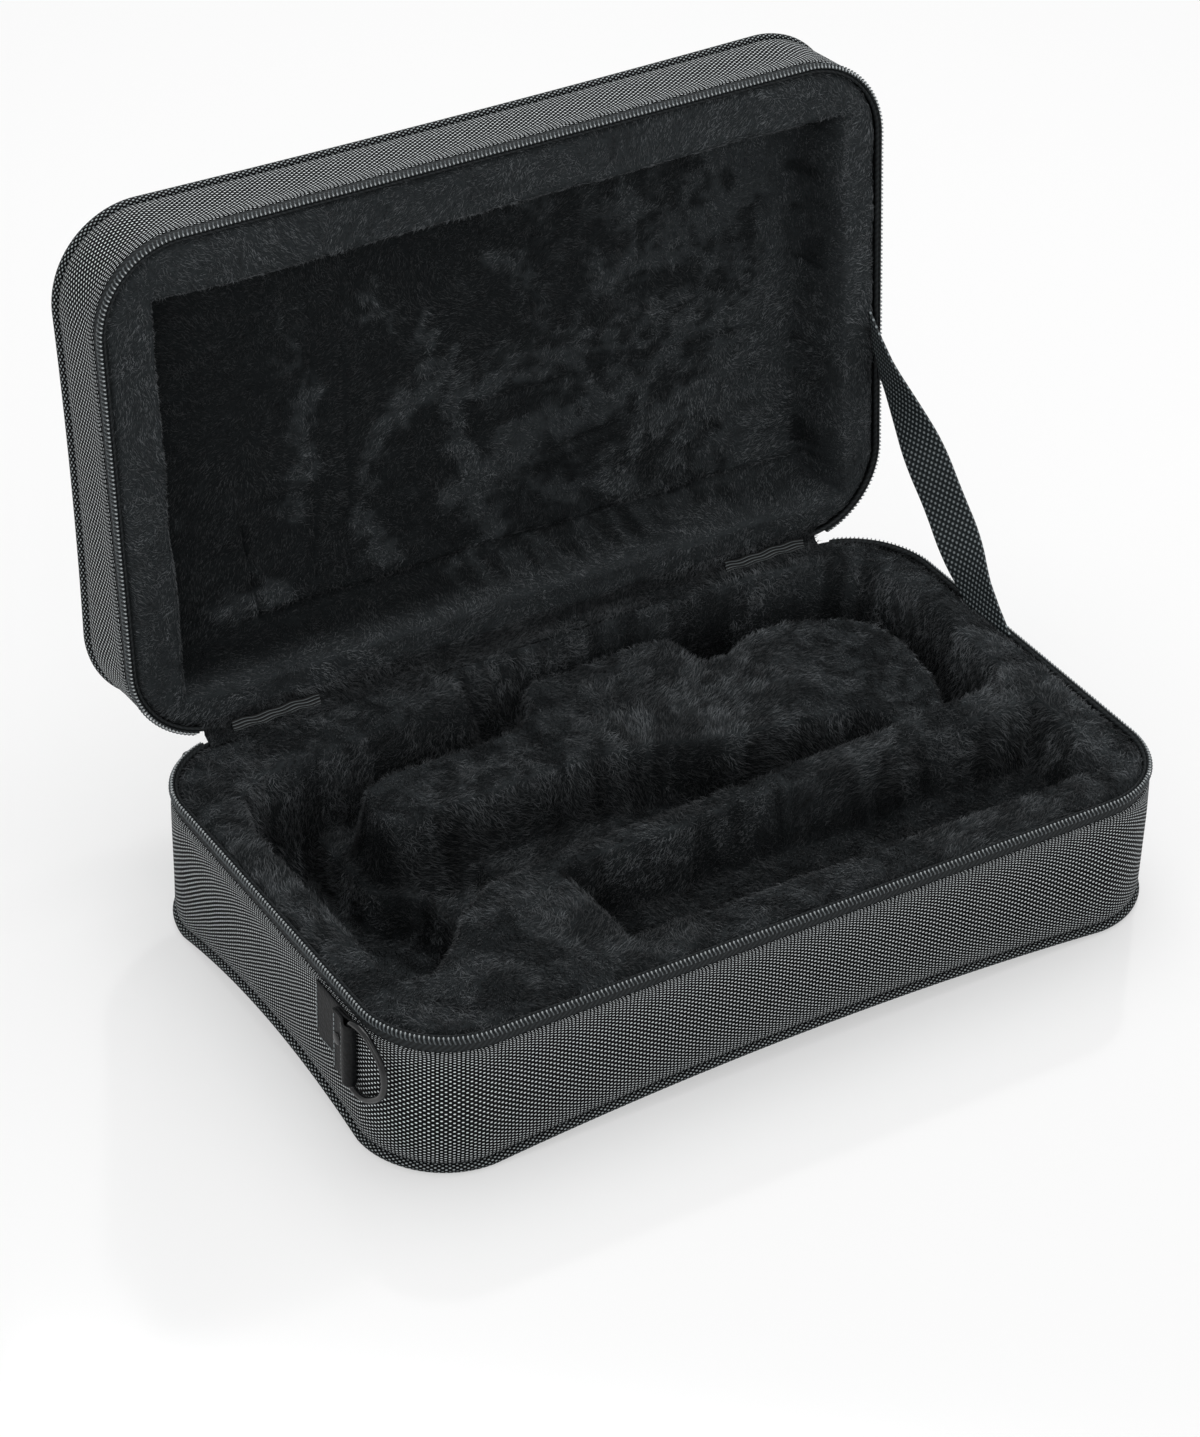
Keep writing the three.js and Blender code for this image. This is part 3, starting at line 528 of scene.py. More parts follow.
coil_nylon = new_material("Drawn_nylon_filament", 0.36, 0.45)
filament = colour(coil_nylon, solid_texture(coil_nylon, "TexNoise", 700, Detail=2)[0], "#2c3133", "#6d7477")
# The heads of the loops are painted pale as a highlight.
head_highlight = add(coil_nylon, "Attribute", {}, attribute_name="head_highlight")
colour(coil_nylon, head_highlight.outputs["Fac"], filament, "#aeb4b6")
COIL_INSET, COIL_DEPTH = 0.0009, 0.0014
for half, body in HALVES:
    half_step = LOOP_PITCH / 2 if half == "lid" else 0
    stations = np.linspace(ZIP_FROM + 0.002, ZIP_TO - 0.002, loop_count) + half_step
    x, y, out_x, out_y, rise = case_edge(stations, BASE_RISES)
    along_x, along_y = -out_y, out_x
    copies = []
    for k in range(loop_count):
        a, o, u = loop_shape[:, 0], loop_shape[:, 1], loop_shape[:, 2]
        px = x[k] - out_x[k] * COIL_INSET + a * along_x[k] + o * out_x[k]
        py = y[k] - out_y[k] * COIL_INSET + a * along_y[k] + o * out_y[k]
        copies.append(np.stack([px, py, u - COIL_DEPTH], 1))
    placed = stand(np.concatenate(copies), half)
    coil = new_piece(half + "_zip_coil_loops", placed, repeated(loop_faces, len(loop_shape), loop_count))
    set_values(coil, "head_highlight", np.tile(on_head.astype(float), loop_count))
    face_out(coil)
    smooth(coil, 70)
    coil.data.materials.append(coil_nylon)
    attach(coil, body)
    core = flat_strip(half + "_zip_coil_core", 560, 8)
    wrap_round(
        core, half, tube_section(COIL_INSET + 0.0005, COIL_DEPTH, 0.0009, 0.0016), ZIP_FROM, ZIP_TO, 0.006,
    )
    close_seams(core)
    smooth(core, 60)
    core.data.materials.append(zip_tape_cloth)
    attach(core, body)
    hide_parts(half + "_zip_coil")
bpy.data.objects.remove(loop)

# Rim binding: a narrow dark tape folded over the raw edge of the lining, just inside the coil.
for half, body in HALVES:
    binding = flat_strip(half + "_rim_binding_tape", 560, 8)
    wrap_round(binding, half, tube_section(0.0032, 0.0012, 0.0009, 0.0014), TAPE_FROM, TAPE_TO, 0.007)
    close_seams(binding)
    smooth(binding, 60)
    binding.data.materials.append(zip_tape_cloth)
    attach(binding, body)
    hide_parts(half + "_rim_binding")

# Plush lining of the base: black long-pile plush glued over foam blocks that are cut to the
# cornet. It is one padded skin that rolls over every lip, dips into the bell pocket, the
# channels and the trough, and rises over the island that the valves lie on.
ROOM_X, ROOM_FRONT, ROOM_REAR = 0.209, 0.112, 0.1305
BELL_FRONT = [(-1, -0.625), (-0.971, -0.75), (-0.933, -0.777), (-0.89, -0.768), (-0.794, -0.607), (-0.737, -0.464),
              (-0.622, -0.339)]
BELL_REAR = [(-0.885, 0.751), (-0.957, 0.659), (-1, 0.475)]
BELL_INNER = [(-0.622, 0.15), (-0.727, 0.307), (-0.727, 0.76)]
RIDGE = [(-0.526, -0.321), (-0.239, -0.286), (0.335, -0.25), (0.89, -0.196)]
CHANNEL_REAR = [(0.957, -0.161), (1, -0.054), (1, 0.651), (0.981, 0.805), (0.919, 0.904), (0.789, 0.95),
                (0.574, 0.981), (0.287, 1), (-0.23, 1), (-0.268, 0.95), (-0.273, 0.812), (-0.297, 0.782),
                (-0.718, 0.782)]
ISLAND = [(-0.699, 0.383), (-0.684, 0.307), (-0.632, 0.276), (-0.057, 0.284), (0.096, 0.199), (0.287, 0.1),
          (0.478, 0.069), (0.612, 0.046), (0.641, -0.036), (0.651, -0.268), (0.823, -0.268), (0.842, -0.054),
          (0.88, 0.107), (0.9, 0.368), (0.88, 0.552), (0.813, 0.674), (0.718, 0.743), (0.598, 0.766),
          (0.517, 0.736), (0.455, 0.674), (0.383, 0.69), (0.378, 0.812), (0.354, 0.881), (0.287, 0.912),
          (-0.048, 0.912), (-0.096, 0.858), (-0.115, 0.751), (-0.191, 0.659), (-0.287, 0.636), (-0.574, 0.636),
          (-0.66, 0.598), (-0.694, 0.506)]
FLARE = [(-0.65, -0.33), (-0.526, -0.31), (-0.43, -0.3), (-0.43, 0.275), (-0.65, 0.275)]
TROUGH = [(-0.431, -1), (0.986, -1), (0.986, -0.42), (-0.431, -0.42)]
BELL_DEPTH, FLARE_DEPTH, CHANNEL_DEPTH, TROUGH_DEPTH, ISLAND_DEPTH = 0.0722, 0.0596, 0.047, 0.035, 0.010


def in_room(shares):
    return np.array([(x * ROOM_X, y * (ROOM_FRONT if y < 0 else ROOM_REAR)) for x, y in shares])


def inside_by(plan, corners):
    """How far each plan point lies inside a hollow's outline, negative outside it."""
    x, y = plan[:, 0], plan[:, 1]
    nearest = np.full(len(plan), 1e9)
    inside = np.zeros(len(plan), bool)
    for (ax, ay), (bx, by) in zip(corners, np.roll(corners, -1, axis=0)):
        ex, ey = bx - ax, by - ay
        share = np.clip(((x - ax) * ex + (y - ay) * ey) / (ex * ex + ey * ey), 0, 1)
        nearest = np.minimum(nearest, np.hypot(x - ax - share * ex, y - ay - share * ey))
        crosses = (ay > y) != (by > y)
        with np.errstate(divide="ignore", invalid="ignore"):
            inside ^= crosses & (x < ex * (y - ay) / (by - ay if by != ay else 1e-12) + ax)
    return np.where(inside, nearest, -nearest)


def fall(distance, lip, slope):
    share = np.clip((distance + lip) / (lip + slope), 0, 1)
    return share * share * (3 - 2 * share)


def billow(plan, size, seed):
    """Smooth unevenness of the padding, from -1 to 1, with lumps of that size in metres."""
    return np.array([noise.noise(Vector((x / size, y / size, seed))) for x, y in plan])


def drift(plan, size, seed, other_seed):
    """The same unevenness sideways, for pushing a plan about."""
    return np.stack([billow(plan, size, seed), billow(plan, size, other_seed)], 1)


def base_plush_height(plan):
    moved = plan + drift(plan, 0.03, 1.5, 8.5) * 0.0016
    channel = in_room(BELL_FRONT + RIDGE + CHANNEL_REAR + BELL_REAR)
    bell = in_room(BELL_FRONT + BELL_INNER + BELL_REAR)
    in_channel = fall(inside_by(moved, channel), 0.003, 0.010) * CHANNEL_DEPTH
    island = fall(inside_by(moved, in_room(ISLAND)), 0.0045, 0.0045) * (CHANNEL_DEPTH - ISLAND_DEPTH)
    in_channel = np.maximum(in_channel - island, np.minimum(in_channel, ISLAND_DEPTH))
    in_flare = fall(inside_by(moved, in_room(FLARE)), 0.002, 0.008) * FLARE_DEPTH
    in_flare = np.where(island > 0, np.minimum(in_flare, FLARE_DEPTH - island), in_flare)
    in_bell = fall(inside_by(moved, bell), 0.003, 0.009) * BELL_DEPTH
    in_trough = fall(inside_by(moved, in_room(TROUGH)), 0.003, 0.009) * TROUGH_DEPTH
    depth = np.maximum.reduce([in_channel, in_flare, in_bell, in_trough])
    lumps = 0.0011 * billow(plan, 0.035, 3.1) + 0.0006 * billow(plan, 0.011, 5.2)
    return -depth + lumps - 0.0004


def case_distance(plan, inset):
    """How far outside the case's outline, drawn in by inset, a plan point lies, and the way out."""
    qx, qy = np.abs(plan[:, 0]) - RUN_X, np.abs(plan[:, 1]) - RUN_Y
    corner = (qx > 0) & (qy > 0)
    reach = np.where(corner, np.hypot(np.maximum(qx, 0), np.maximum(qy, 0)), np.maximum(qx, qy))
    way_x = np.where(corner, qx, (qx >= qy).astype(float))
    way_y = np.where(corner, qy, (qx < qy).astype(float))
    size = np.maximum(np.hypot(way_x, way_y), 1e-12)
    way = np.stack([np.sign(plan[:, 0]) * way_x / size, np.sign(plan[:, 1]) * way_y / size], 1)
    return reach - (CORNER - inset), way


PLUSH_INSET = 0.0042


def plush_skin(name, half, height_of, sheen_and_shade_of):
    """A fine grid cut to the case's outline, set to the height of the lining, with its edge rolled
    down into the rim. Its UVs are the plan in metres. Its attribute holds the painted sheen and shade
    of the pile: 1 on the lips, and near 0 in the hollows, which are painted nearly black as shade."""
    bpy.ops.mesh.primitive_grid_add(x_subdivisions=288, y_subdivisions=172, size=1)
    skin = bpy.context.object
    skin.name = skin.data.name = name
    plan = coordinates(skin)[:, :2] * [2 * (RUN_X + CORNER), 2 * (RUN_Y + CORNER)]
    out, way = case_distance(plan, PLUSH_INSET)
    pick(skin, out > 0.0024)
    plan = plan - way * np.maximum(out, 0)[:, None]
    edge = np.clip(1 + np.minimum(case_distance(plan, PLUSH_INSET)[0], 0) / 0.006, 0, 1)
    height = height_of(plan) - 0.0034 * edge ** 2
    set_values(skin, "sheen_and_shade", sheen_and_shade_of(plan, height))
    plan_uv(skin, plan)
    put(skin, stand(np.column_stack([plan, height]), half))
    edit(
        skin,
        lambda: bpy.ops.mesh.select_mode(type="VERT"),
        lambda: bpy.ops.mesh.delete(type="VERT"),
        everything=False,
    )
    if half == "lid":
        edit(skin, lambda: bpy.ops.mesh.flip_normals())
    return skin


# Plush: a knitted backing with a black acrylic pile, 3 to 6 mm long in the base and 2 to 4 mm in
# the lid. Its colour carries painted sheen and shade: a cold dark grey on the lips, and nearly black
# in the hollows as painted shade. Tufts lie this way and that. The fibres are drawn 0.3 mm thick, about five times
# too thick.
plush_backing = new_material("Black_acrylic_plush", 0.95, 0.05)
# The backing's colour is its grain times the painted sheen and shade of the pile: lighter on the lips, darker in the
# hollows.
pile_sheen_and_shade = add(plush_backing, "Attribute", {}, attribute_name="sheen_and_shade").outputs["Fac"]
pile_grain = solid_texture(plush_backing, "TexNoise", 520, Detail=3)[0]
ground_grain_sheen_and_shade = crossed(plush_backing, pile_sheen_and_shade, math_node(plush_backing, "ADD", pile_grain, 0.35))
colour(plush_backing, ground_grain_sheen_and_shade, "#0c0e0f", "#373b3d")
relief(plush_backing, pile_grain, 0.5, 0.001)

plush_pile = new_material("Acrylic_pile_fibres", 0.6, 0.2)
# Each fibre is painted darker towards its root, as shade deep in the pile. Its tuft attribute includes the painted
# sheen and shade.
tuft_tone_and_shade = add(plush_pile, "Attribute", {}, attribute_name="tuft").outputs["Fac"]
fibre_root_shade = ramp(plush_pile, strip_axes(plush_pile)[1], 0, 1, 0.5, 1)
colour(plush_pile, crossed(plush_pile, fibre_root_shade, tuft_tone_and_shade), "#0f1011", "#6c7073")


# Without a seed the vector noise of the nap starts from the clock, and differs in each run.
noise.seed_set(1)
FIBRES = 54000


def laid(ways, normal):
    """Directions laid down into the surface, one unit long."""
    flat = ways - normal * (ways * normal).sum(1)[:, None]
    return flat / np.maximum(np.linalg.norm(flat, axis=1), 1e-9)[:, None]


def pile(name, skin, count, seed, shortest=0.003, longest=0.0056, upright=0.75):
    """Tapered fibres standing on the plush: each leans the way the nap lies there, and takes the
    tone of its tuft times the painted sheen and shade of the skin at its root. One fibre is two faces, and the fibres
    of a piece are one mesh."""
    chance = np.random.default_rng(seed)
    mesh = skin.data
    mesh.calc_loop_triangles()
    corners = np.empty(3 * len(mesh.loop_triangles), np.int32)
    mesh.loop_triangles.foreach_get("vertices", corners)
    corners = corners.reshape(-1, 3)
    points = coordinates(skin)
    sheen_and_shade = np.empty(len(points))
    mesh.attributes["sheen_and_shade"].data.foreach_get("value", sheen_and_shade)
    a, b, c = (points[corners[:, k]] for k in range(3))
    cross = np.cross(b - a, c - a)
    area = np.linalg.norm(cross, axis=1) / 2
    chosen = chance.choice(len(area), count, p=area / area.sum())
    ends = corners[chosen]
    u, v = chance.random((2, count))
    over = u + v > 1
    u[over], v[over] = 1 - u[over], 1 - v[over]
    root = a[chosen] + (b - a)[chosen] * u[:, None] + (c - a)[chosen] * v[:, None]
    sheen_and_shade = sheen_and_shade[ends[:, 0]] * (1 - u - v) + sheen_and_shade[ends[:, 1]] * u + sheen_and_shade[ends[:, 2]] * v
    normal = cross[chosen] / np.maximum(2 * area[chosen], 1e-12)[:, None]
    nap = np.array([
        noise.noise_vector(Vector(p * 11)) + noise.noise_vector(Vector(p * 38)) * 0.55
        + noise.noise_vector(Vector(p * 120)) * 0.35
        for p in root
    ])
    lie = laid(nap, normal)
    blotch = np.array([noise.noise(Vector(p * 34)) + 0.6 * noise.noise(Vector(p * 13 + 5)) for p in root])
    tuft = sum(
        np.array([noise.noise(Vector(p * 210)) for p in root + lie * shift])
        for shift in (-0.0025, 0, 0.0025)
    )
    pattern = (0.3 * blotch + 0.45 * tuft) * np.clip(sheen_and_shade / 0.5, 0.5, 1)
    # A fibre's tone is its tuft's random tone times the painted sheen and shade under its root.
    tone = np.clip(0.9 + pattern, 0.2, 1.5) * sheen_and_shade * chance.uniform(0.85, 1.15, count)
    lean = laid(nap + chance.normal(0, 0.16, nap.shape), normal)
    length = chance.uniform(shortest, longest, count)[:, None]
    rise = chance.uniform(0.5 * upright, upright, count)[:, None]
    first = normal * rise + lean * (1 - rise)
    second = normal * rise * 0.5 + lean
    for way in (first, second):
        way /= np.linalg.norm(way, axis=1)[:, None]
    root = root - normal * 0.0006
    elbow = root + first * length * 0.5
    tip = elbow + second * length * 0.5
    side = np.cross(first, chance.normal(0, 1, first.shape))
    side /= np.maximum(np.linalg.norm(side, axis=1), 1e-9)[:, None]
    width = chance.uniform(0.00012, 0.00021, count)[:, None]
    vertices = np.stack([
        root - side * width, root + side * width, elbow + side * width * 0.85, elbow - side * width * 0.85, tip,
    ], 1).reshape(-1, 3)
    faces = repeated([[0, 1, 2, 3]], 5, count) + repeated([[3, 2, 4]], 5, count)
    fibres = new_piece(name, vertices, faces)
    fibres.data.uv_layers.new(name="UVMap")
    up = np.array([[0, 0], [1, 0], [1, 0.5], [0, 0.5]])
    top = np.array([[0, 0.5], [1, 0.5], [0.5, 1]])
    write_uv(fibres, np.concatenate([np.tile(up, (count, 1)), np.tile(top, (count, 1))]))
    # The tuft attribute holds that tone, with the painted sheen and shade in it.
    set_values(fibres, "tuft", np.repeat(tone, 5))
    fibres.data.materials.append(plush_pile)
    return fibres


def sheen_patch(plan, size, seed, share):
    """Patches of painted sheen, where a hand has swept the pile the other way: 1 inside such a patch and 0 outside
    it.
    """
    moved = plan + drift(plan, size, seed, seed + 4) * size * 0.6
    level = sum(k * billow(moved, size * k, seed + 8 / k) for k in (1, 0.5, 0.25, 0.13))
    return fall(level + share, 0.12, 0.3)


# Painted light and shade of the base's pile: lighter towards the rear and the right end, painted shade in the
# hollows, and patches of painted sheen.
def base_sheen_and_shade(plan, height):
    x, y = plan[:, 0] / 0.2, plan[:, 1] / 0.14
    lit = 0.60 + 0.10 * y + 0.06 * np.clip(x - 0.2, 0, 1) + 0.12 * np.clip((x - 0.9) / 0.15, 0, 1)
    hollow_shade = 0.48 * fall(-height - 0.010, 0, 0.020) - 0.66 * fall(-height - 0.042, 0, 0.020)
    return lit * (1 - hollow_shade) * (0.56 + 0.68 * sheen_patch(plan, 0.022, 41.0, 0.1))


base_plush = plush_skin("base_plush_lining", "base", base_plush_height, base_sheen_and_shade)
for k in range(4):
    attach(pile(f"base_plush_pile_{k + 1}", base_plush, FIBRES, 11 + k), "base_shell")
thicken(base_plush, 0.002, -1)
smooth(base_plush, 80)
base_plush.data.materials.append(plush_backing)
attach(base_plush, "base_shell")
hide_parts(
    "base_plush_liner", "base_foam_shell", "cradle_floor_block", "valve_island_block",
    "front_divider_block", "rear_ledge_block",
)

# Plush lining of the lid: one shallow recess with soft lips. The plush is a little too long for
# it, so it creases upright near the left end, across the middle and along the hinge side.
LID_LEFT, LID_RIGHT, LID_FRONT, LID_REAR, LID_RECESS = -0.203, 0.208, -0.1085, 0.1185, 0.035
LID_CREASES = [
    ((-0.100, -0.090), (-0.106, 0.092), 0.0035, 0.0012),
    ((-0.082, -0.080), (-0.085, 0.098), 0.0035, 0.0009),
    ((-0.147, 0.049), (-0.140, 0.104), 0.0040, 0.0025),
    ((-0.010, 0.017), (0.175, 0.020), 0.0035, 0.0014),
    ((-0.150, 0.104), (0.195, 0.107), 0.0045, 0.0024),
    ((0.030, 0.060), (0.110, 0.048), 0.0040, 0.0014),
]
# Strokes of painted sheen on the lid's floor, where the nap lies brushed up: from, to, half width, how strong.
LID_SHEEN_STROKES = [
    ((0.194, -0.085), (0.196, 0.000), 0.008, 0.8), ((0.188, 0.005), (0.188, 0.105), 0.014, 0.9),
    ((0.160, 0.045), (0.172, 0.098), 0.017, 0.75), ((0.138, -0.049), (0.184, -0.074), 0.007, 0.7),
    ((0.147, -0.083), (0.195, -0.080), 0.007, 0.9), ((-0.021, 0.009), (0.070, 0.003), 0.0055, 0.8),
    ((0.070, 0.003), (0.178, 0.012), 0.004, 0.7), ((-0.019, 0.068), (0.027, 0.045), 0.010, 0.95),
    ((0.027, 0.045), (0.096, 0.035), 0.007, 0.95), ((-0.036, -0.044), (-0.032, -0.021), 0.006, 0.6),
    ((-0.049, 0.009), (-0.020, -0.008), 0.009, 0.95), ((-0.062, 0.015), (-0.074, 0.041), 0.006, 0.7),
    ((-0.019, 0.017), (-0.013, 0.059), 0.006, 0.7), ((-0.013, 0.059), (0.004, 0.095), 0.007, 0.85),
    ((0.004, 0.095), (-0.018, 0.114), 0.006, 0.7), ((-0.118, -0.075), (-0.105, -0.022), 0.005, 0.45),
    ((-0.105, -0.022), (-0.117, 0.055), 0.007, 0.55), ((0.025, 0.081), (0.084, 0.088), 0.006, 0.65),
    ((0.101, 0.062), (0.145, 0.043), 0.007, 0.6), ((0.094, -0.080), (0.096, -0.055), 0.006, 0.6),
    ((0.079, -0.035), (0.119, -0.041), 0.006, 0.65), ((0.011, -0.065), (0.033, -0.051), 0.005, 0.5),
    ((-0.078, 0.065), (-0.061, 0.093), 0.007, 0.6), ((-0.160, 0.095), (-0.135, 0.093), 0.010, 0.6),
    ((-0.067, -0.066), (-0.056, -0.042), 0.005, 0.5), ((-0.018, 0.116), (0.200, 0.116), 0.005, 0.7),
]


def away_from(plan, start, end):
    """How far each plan point lies from the line between two others."""
    (ax, ay), (bx, by) = start, end
    ex, ey = bx - ax, by - ay
    share = np.clip(((plan[:, 0] - ax) * ex + (plan[:, 1] - ay) * ey) / (ex * ex + ey * ey), 0, 1)
    return np.hypot(plan[:, 0] - ax - share * ex, plan[:, 1] - ay - share * ey)


def lid_plush_height(plan):
    moved = plan + drift(plan, 0.04, 21.5, 28.5) * 0.0018
    recess = np.array([(LID_LEFT, LID_FRONT), (LID_RIGHT, LID_FRONT), (LID_RIGHT, LID_REAR), (LID_LEFT, LID_REAR)])
    depth = fall(inside_by(moved, recess), 0.003, 0.009) * LID_RECESS
    floor_share = np.clip(depth / LID_RECESS * 4 - 3, 0, 1)
    folds = 0.0022 * billow(plan, 0.045, 31.0) + 0.0012 * billow(plan * [1, 1.7], 0.016, 34.0)
    for start, end, width, deep in LID_CREASES:
        away = away_from(moved, start, end)
        folds += deep * (0.6 * np.exp(-(away / width / 2) ** 2) - 1.6 * np.exp(-(away / width * 1.8) ** 2))
    lumps = 0.0010 * billow(plan, 0.035, 23.1) + 0.0005 * billow(plan, 0.011, 25.2)
    return -depth + lumps + folds * floor_share - 0.0004


def lid_sheen_and_shade(plan, height):
    """Painted shade and sheen: darker in the recess, against the walls and towards the left, lighter on the lips, on
    the right and in strokes of painted sheen.
    """
    # The recess is painted darker as shade, and more so against its walls.
    deep = fall(-height - 0.005, 0, 0.016)
    x, y = plan[:, 0], plan[:, 1]
    inner = np.minimum.reduce([x - LID_LEFT, LID_RIGHT - x, y - LID_FRONT, LID_REAR - y])
    wall_shade = 1 - fall(inner - 0.006, 0, 0.014)
    ragged = plan + sum(
        k * drift(plan, 0.9 * k, seed, seed + 3) for k, seed in ((0.012, 61.0), (0.004, 64.5), (0.0015, 68.5))
    )
    sheen_strokes = np.maximum.reduce([
        up * np.exp(-(away_from(ragged, start, end) / width) ** 2) for start, end, width, up in LID_SHEEN_STROKES
    ])
    mottled = 0.6 * billow(plan, 0.016, 75.0) + 0.5 * billow(plan * [1, 1.6], 0.007, 78.0)
    right = 0.44 * np.clip((x + 0.02) / 0.2, 0, 1)
    level = sheen_strokes * (1.05 + 0.5 * mottled) + right * (1 + 1.8 * mottled) + 0.45 * mottled
    floor_sheen = 0.31 + 0.66 * fall(level - 0.36, 0.3, 0.35)
    lip_light = 0.86 + 0.06 * x / 0.2 + 0.12 * billow(plan, 0.03, 71.0)
    return lip_light - deep * (lip_light - floor_sheen * (1 - 0.3 * wall_shade))


lid_plush = plush_skin("lid_plush_lining", "lid", lid_plush_height, lid_sheen_and_shade)
for k in range(3):
    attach(pile(f"lid_plush_pile_{k + 1}", lid_plush, FIBRES, 21 + k, 0.0024, 0.0042, 0.45), "lid")
thicken(lid_plush, 0.002, -1)
smooth(lid_plush, 80)
lid_plush.data.materials.append(plush_backing)
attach(lid_plush, "lid")
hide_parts("lid_plush_liner", "lid_foam_shell")

# Cloth hinge: a strip of the same nylon joins the two back walls on the outside, round the line
# that the lid turns about. Inside, plush runs over it from the base's lining to the lid's.
LINE_POINTS = 200


def follow(points, count=LINE_POINTS):
    """A smooth line of that many points through the given ones."""
    points = np.array(points, dtype=float)
    ends = np.concatenate([[2 * points[0] - points[1]], points, [2 * points[-1] - points[-2]]])
    places = np.linspace(0, len(points) - 1 - 1e-9, count)
    k = places.astype(int)
    t = (places - k)[:, None]
    p0, p1, p2, p3 = (ends[k + i] for i in range(4))
    bend, twist = 2 * p0 - 5 * p1 + 4 * p2 - p3, 3 * p1 - p0 - 3 * p2 + p3
    return 0.5 * (2 * p1 + (p2 - p0) * t + bend * t ** 2 + twist * t ** 3)


def on_line(line, share):
    """The two coordinates of the places at those shares of a line."""
    steps = np.arange(len(line))
    return (np.interp(share * (len(line) - 1), steps, line[:, axis]) for axis in (0, 1))


def lid_point(reach, depth):
    """y and z of a point of the open lid, that far from the hinge line and that deep behind the rim."""
    turned = lid_open @ Vector((0, HINGE.y - reach, HINGE.z + RIM_GAP + depth))
    return turned.y, turned.z


def strip_along(name, path, from_x, to_x, columns, rows, ripple=None):
    """A flat strip bent along a path in y and z, between two places in x."""
    strip = flat_strip(name, columns, rows)
    flat = coordinates(strip)
    line = follow(path)
    x = from_x + (flat[:, 0] + 0.5) * (to_x - from_x)
    y, z = on_line(line, flat[:, 1] + 0.5)
    if ripple is not None:
        z = z + ripple(x, flat[:, 1] + 0.5)
    put(strip, np.stack([x, y, z], 1))
    length = np.linalg.norm(np.diff(line, axis=0), axis=1).sum()
    write_uv(strip, read_uv(strip) * [to_x - from_x, length])
    return strip


BACK = HINGE.y
hinge_path = [
    (BACK - 0.0007, RIM - 0.0090), (BACK - 0.0007, RIM - 0.0012), (BACK + 0.0001, HINGE.z - 0.0002),
    (BACK + 0.0012, HINGE.z - 0.0006), lid_point(0.0007, 0.0012), lid_point(0.0007, 0.0090),
]
hinge_back = strip_along("hinge_cloth_strip", hinge_path, -RUN_X, RUN_X, 160, 14)
thicken(hinge_back, 0.0009, 0)
smooth(hinge_back, 60)
hinge_back.data.materials.append(woven_nylon)
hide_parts("hinge_cloth")
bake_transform(hinge_back)

plush_path = [
    (BACK - 0.0085, RIM - 0.0002), (BACK - 0.0045, RIM + 0.0006), (BACK - 0.0012, HINGE.z + 0.0004),
    (BACK + 0.0001, HINGE.z + 0.0024), lid_point(0.0062, -0.0003), lid_point(0.0095, 0.0003),
]
hinge_plush = strip_along(
    "hinge_plush_strip", plush_path, -RUN_X - 0.0095, RUN_X + 0.004, 300, 12,
    lambda x, share: 0.0006 * np.sin(x / 0.011) * np.sin(x / 0.0043 + 1),
)
# The pile over the hinge is painted darker near the hinge line, as shade in the fold.
over_hinge = coordinates(hinge_plush)[:, 2] - HINGE.z
set_values(hinge_plush, "sheen_and_shade", 0.25 + 0.6 * np.abs(2 * over_hinge - 0.004) / 0.02)
hinge_pile = pile("hinge_plush_pile", hinge_plush, 11000, 31)
thicken(hinge_plush, 0.0008, -1)
smooth(hinge_plush, 60)
hinge_plush.data.materials.append(plush_backing)
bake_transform(hinge_plush)
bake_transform(hinge_pile)

# Hinge ribbons: two short lengths of black corded ribbon, stitched over the inside of the hinge
# near its ends. Four pale cords run along each, a little wavy where the stitches draw them.
corded_ribbon = new_material("Corded_polyester_ribbon", 0.6)
cord_wave = wave(corded_ribbon, strip_axes(corded_ribbon)[1], 0.0008)
cord_line = ramp(corded_ribbon, cord_wave, 0.5, 0.95, interpolation_type="SMOOTHSTEP")
colour(corded_ribbon, cord_line, "#090a0b", "#646b6d")
relief(corded_ribbon, cord_wave, 0.6, 0.0004)
RIBBON_LENGTH, RIBBON_MIDDLE = 0.052, 0.1544
ribbon_path = [
    (BACK - 0.0042, RIM + 0.0018), (BACK - 0.0032, RIM + 0.0030), (BACK - 0.0022, HINGE.z + 0.0034),
    (BACK - 0.0017, HINGE.z + 0.0054),
]
for side, middle in (("left", -RIBBON_MIDDLE), ("right", RIBBON_MIDDLE)):
    ribbon = strip_along(
        f"hinge_ribbon_{side}_cloth", ribbon_path, middle - RIBBON_LENGTH / 2, middle + RIBBON_LENGTH / 2, 90, 10,
        lambda x, share: 0.0004 * np.sin(x / 0.0023 + 2 * share) + 0.0004 * np.sin(x / 0.0061),
    )
    thicken(ribbon, 0.0007, 0)
    smooth(ribbon, 60)
    ribbon.data.materials.append(corded_ribbon)
    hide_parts(f"hinge_ribbon_{side}")
    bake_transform(ribbon)

# Stay strap: 30 mm polypropylene webbing in a close basket weave, sewn into the seams of the
# base and the lid on the right. It stops the lid, and twists a little in its free length.
STRAP_X = 0.2301
STRAP_TURNS = [0, 0.41, 0.30, 0.38, 0.02, -0.28]
strap_foot = Vector((STRAP_X, 0.033, RIM))
strap_head = Vector((STRAP_X, 0.1528, 0.1967))
strap_free = (strap_head - strap_foot).length
strap_way = (strap_head - strap_foot).normalized()
strap_wide = Vector((1, 0, 0)).cross(strap_way).normalized()
STRAP_TAIL, STRAP_WIDTH = 0.016, 0.030
strap = flat_strip("stay_strap_webbing", 150, 12)
flat = coordinates(strap)
along = -STRAP_TAIL + (flat[:, 0] + 0.5) * (strap_free + 2 * STRAP_TAIL)
in_turns = np.clip((along - STRAP_WIDTH / 2) / (strap_free - STRAP_WIDTH), 0, 1)
